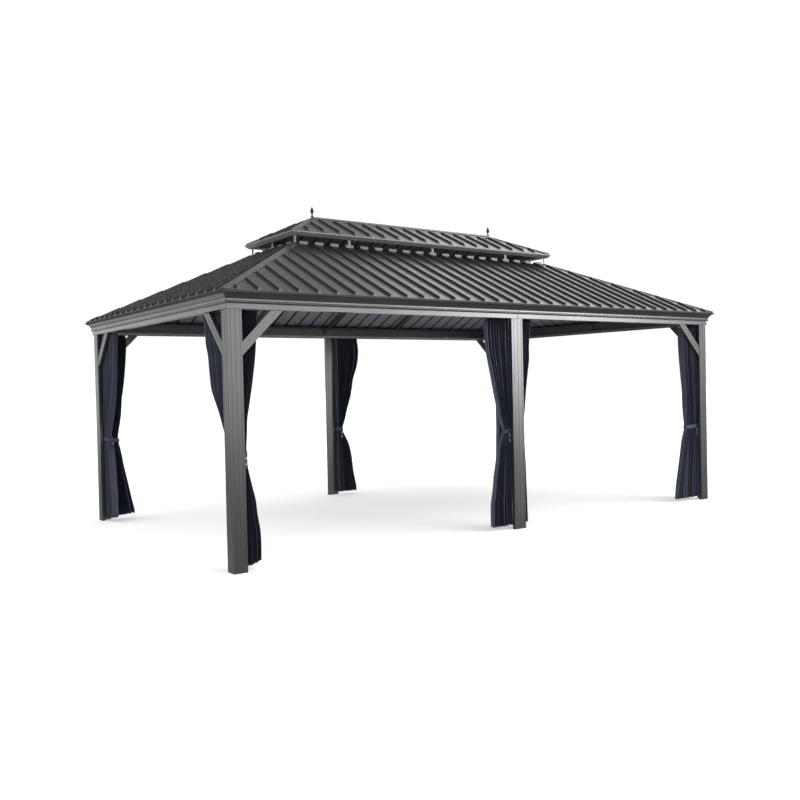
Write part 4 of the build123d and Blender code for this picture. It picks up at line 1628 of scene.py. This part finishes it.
@dataclass(frozen=True)
class Glow:
    """One soft-edged patch of light on the reflection dome.

    Attributes:
        compass: direction of its middle, in degrees from the rear towards the right.
        height: how high its middle stands over the horizon, in degrees.
        half: half its width and half its height, in degrees.
        soft: how wide its edges fade at the sides and at the top and bottom, in degrees.
        strength: how bright it is.
    """

    compass: float
    height: float
    half: tuple[float, float]
    soft: tuple[float, float]
    strength: float


@dataclass(frozen=True)
class SkyDome:
    """A dome that shows only in reflections: bright reflector boards round a dim room.

    Attributes:
        radius: its radius.
        low: the room's glow straight down.
        middle: the room's glow at the horizon.
        high: the room's glow half way up.
        zenith: how much brighter it is overhead.
        glows: the bright patches.
    """

    radius: float = 60.0
    low: float = 0.14
    middle: float = 0.32
    high: float = 0.16
    zenith: float = 0.45
    glows: tuple[Glow, ...] = (
        Glow(135.5, 8.0, (3.0, 4.0), (8.0, 5.0), 9.0),
        Glow(149.0, 7.0, (11.0, 5.0), (10.0, 7.5), 3.7),
        Glow(48.0, 31.0, (22.0, 9.0), (14.0, 12.0), 0.26),
        Glow(58.0, 27.0, (12.0, 7.0), (9.0, 10.0), 1.5),
        Glow(16.0, 12.0, (14.0, 5.0), (12.0, 8.0), 0.7),
        Glow(-20.0, 4.5, (9.0, 4.0), (12.0, 6.0), 0.9),
        Glow(-5.0, -24.0, (16.0, 8.0), (16.0, 10.0), 0.45),
        Glow(-100.0, 8.0, (26.0, 8.0), (20.0, 10.0), 0.6),
        Glow(-150.0, 22.0, (22.0, 9.0), (16.0, 10.0), 0.5),
        Glow(100.0, 30.0, (18.0, 8.0), (16.0, 10.0), 0.4),
        Glow(-174.0, 8.0, (9.0, 5.0), (10.0, 8.0), 1.1),
    )

    def glow_of(self, board: Board, way: bpy.types.NodeSocket, glow: Glow) -> bpy.types.NodeSocket:
        """The brightness that one patch adds.

        Args:
            board: the dome's nodes.
            way: direction of the point of the dome.
            glow: the patch.

        Returns:
            The brightness.
        """
        turned = board.add("ShaderNodeVectorRotate", {"Vector": way, "Angle": math.radians(glow.compass)},
                           rotation_type="Z_AXIS")
        axes = board.add("ShaderNodeSeparateXYZ", {0: turned.outputs[0]})
        bearing = board.maths(axes.outputs[0], axes.outputs[1], "ARCTAN2")
        height = board.maths(axes.outputs[2], 0.0, "ARCSINE")
        rise = board.maths(height, math.radians(glow.height), "SUBTRACT")
        away = [board.maths(angle, 0.0, "ABSOLUTE") for angle in (bearing, rise)]
        share = glow.strength
        for value, half, soft in zip(away, glow.half, glow.soft):
            inputs = {"Value": value, "From Min": math.radians(half), "From Max": math.radians(half + soft),
                      "To Min": 1.0, "To Max": 0.0}
            fade = board.add("ShaderNodeMapRange", inputs, interpolation_type="SMOOTHSTEP")
            share = board.maths(fade.outputs[0], share, "MULTIPLY")
        return share

    def material(self) -> bpy.types.Material:
        """Make the dome's glow, by direction from its middle.

        Returns:
            The material.
        """
        board = Board("Reflection dome")
        where = board.place(Run.EVEN.value)
        way = board.add("ShaderNodeVectorMath", {0: where}, operation="NORMALIZE").outputs[0]
        rise = board.add("ShaderNodeSeparateXYZ", {0: way}).outputs[2]
        total = board.span(rise, low=self.low, high=self.middle, start=-0.45, end=-0.03)
        climb = board.span(rise, low=0.0, high=self.high - self.middle, start=0.1, end=0.55)
        total = board.maths(total, climb)
        total = board.maths(total, board.span(rise, low=0.0, high=self.zenith, start=0.66, end=0.9))
        for glow in self.glows:
            total = board.maths(total, self.glow_of(board, way, glow))
        board.set(Base_Color=(0.0, 0.0, 0.0), Specular_IOR_Level=0.0, Emission_Color=(1.0, 1.0, 1.0),
                  Emission_Strength=total)
        board.material.cycles.emission_sampling = "NONE"
        return board.material

    def build(self) -> None:
        """Set the dome round the gazebo."""
        mesh = bmesh.new()
        bmesh.ops.create_uvsphere(mesh, u_segments=48, v_segments=24, radius=self.radius)
        bmesh.ops.reverse_faces(mesh, faces=mesh.faces)
        data = bpy.data.meshes.new("Dome")
        mesh.to_mesh(data)
        mesh.free()
        data.materials.append(self.material())
        dome = bpy.data.objects.new("Dome", data)
        for kind in ("camera", "diffuse", "transmission", "volume_scatter", "shadow"):
            setattr(dome, f"visible_{kind}", False)
        bpy.context.scene.collection.objects.link(dome)


@dataclass(frozen=True)
class SoftSun:
    """One very wide soft lamp, far away.

    Attributes:
        name: its name.
        compass: where its light comes from, in degrees from the rear towards the right.
        height: how high it stands, in degrees.
        width: how wide it looks, in degrees.
        strength: how bright it lights a face turned to it.
        distance: how far off its handle is drawn, which its light doesn't depend on.
    """

    name: str
    compass: float
    height: float
    width: float
    strength: float
    distance: float = 20.0

    def build(self) -> None:
        """Hang the lamp."""
        data = bpy.data.lights.new(self.name, "SUN")
        data.energy = self.strength
        data.angle = math.radians(self.width)
        lamp = bpy.data.objects.new(self.name, data)
        bearing, height = math.radians(self.compass), math.radians(self.height)
        flat = math.cos(height)
        source = Vector((math.sin(bearing) * flat, math.cos(bearing) * flat, math.sin(height)))
        lamp.location = source * self.distance
        lamp.rotation_euler = source.to_track_quat("Z", "Y").to_euler()
        lamp.visible_camera = False
        lamp.visible_glossy = False
        bpy.context.scene.collection.objects.link(lamp)


@dataclass
class Studio:
    """The pale floor, the room's light, the lamps and the dome that reflections show.

    Attributes:
        wardrobe: holds the floor's finish.
        floor_size: width of the floor.
        room: brightness of the room.
        lamps: the soft lamps.
    """

    wardrobe: Wardrobe
    floor_size: float = 300.0
    room: float = 1.06
    lamps: tuple[SoftSun, ...] = (
        SoftSun("Front right lamp", 140.0, 38.0, 50.0, 1.5),
        SoftSun("Left lamp", -80.0, 30.0, 60.0, 0.7),
    )

    def build_floor(self) -> None:
        """Lay the floor."""
        mesh = bmesh.new()
        bmesh.ops.create_grid(mesh, x_segments=1, y_segments=1, size=self.floor_size / 2)
        data = bpy.data.meshes.new("Floor")
        mesh.to_mesh(data)
        mesh.free()
        data.materials.append(self.wardrobe.pick("floor"))
        floor = bpy.data.objects.new("Floor", data)
        floor.visible_glossy = False
        bpy.context.scene.collection.objects.link(floor)

    def build_room(self) -> None:
        """Light the room evenly."""
        world = bpy.data.worlds.new("Room")
        bpy.context.scene.world = world
        world.use_nodes = True
        back = world.node_tree.nodes["Background"]
        back.inputs["Color"].default_value = (1.0, 1.0, 1.0, 1.0)
        back.inputs["Strength"].default_value = self.room

    def build(self) -> None:
        """Set up the studio."""
        self.build_floor()
        self.build_room()
        SkyDome().build()
        for lamp in self.lamps:
            lamp.build()
        bpy.context.scene.view_settings.view_transform = "Standard"
        PhotoCamera().build()


def main() -> None:
    """Build every sub-assembly in order."""
    logging.basicConfig(level=logging.INFO, format="%(message)s")
    wardrobe = Wardrobe()
    Studio(wardrobe).build()
    wardrobe.dress_nodes()
    shop = Workshop(wardrobe)
    plan = Plan()
    curtains = Curtains(shop, plan)
    curtains.build()
    Hardware(shop, plan, curtains).build()
    Finials(shop).build()


if __name__ == "__main__":
    main()
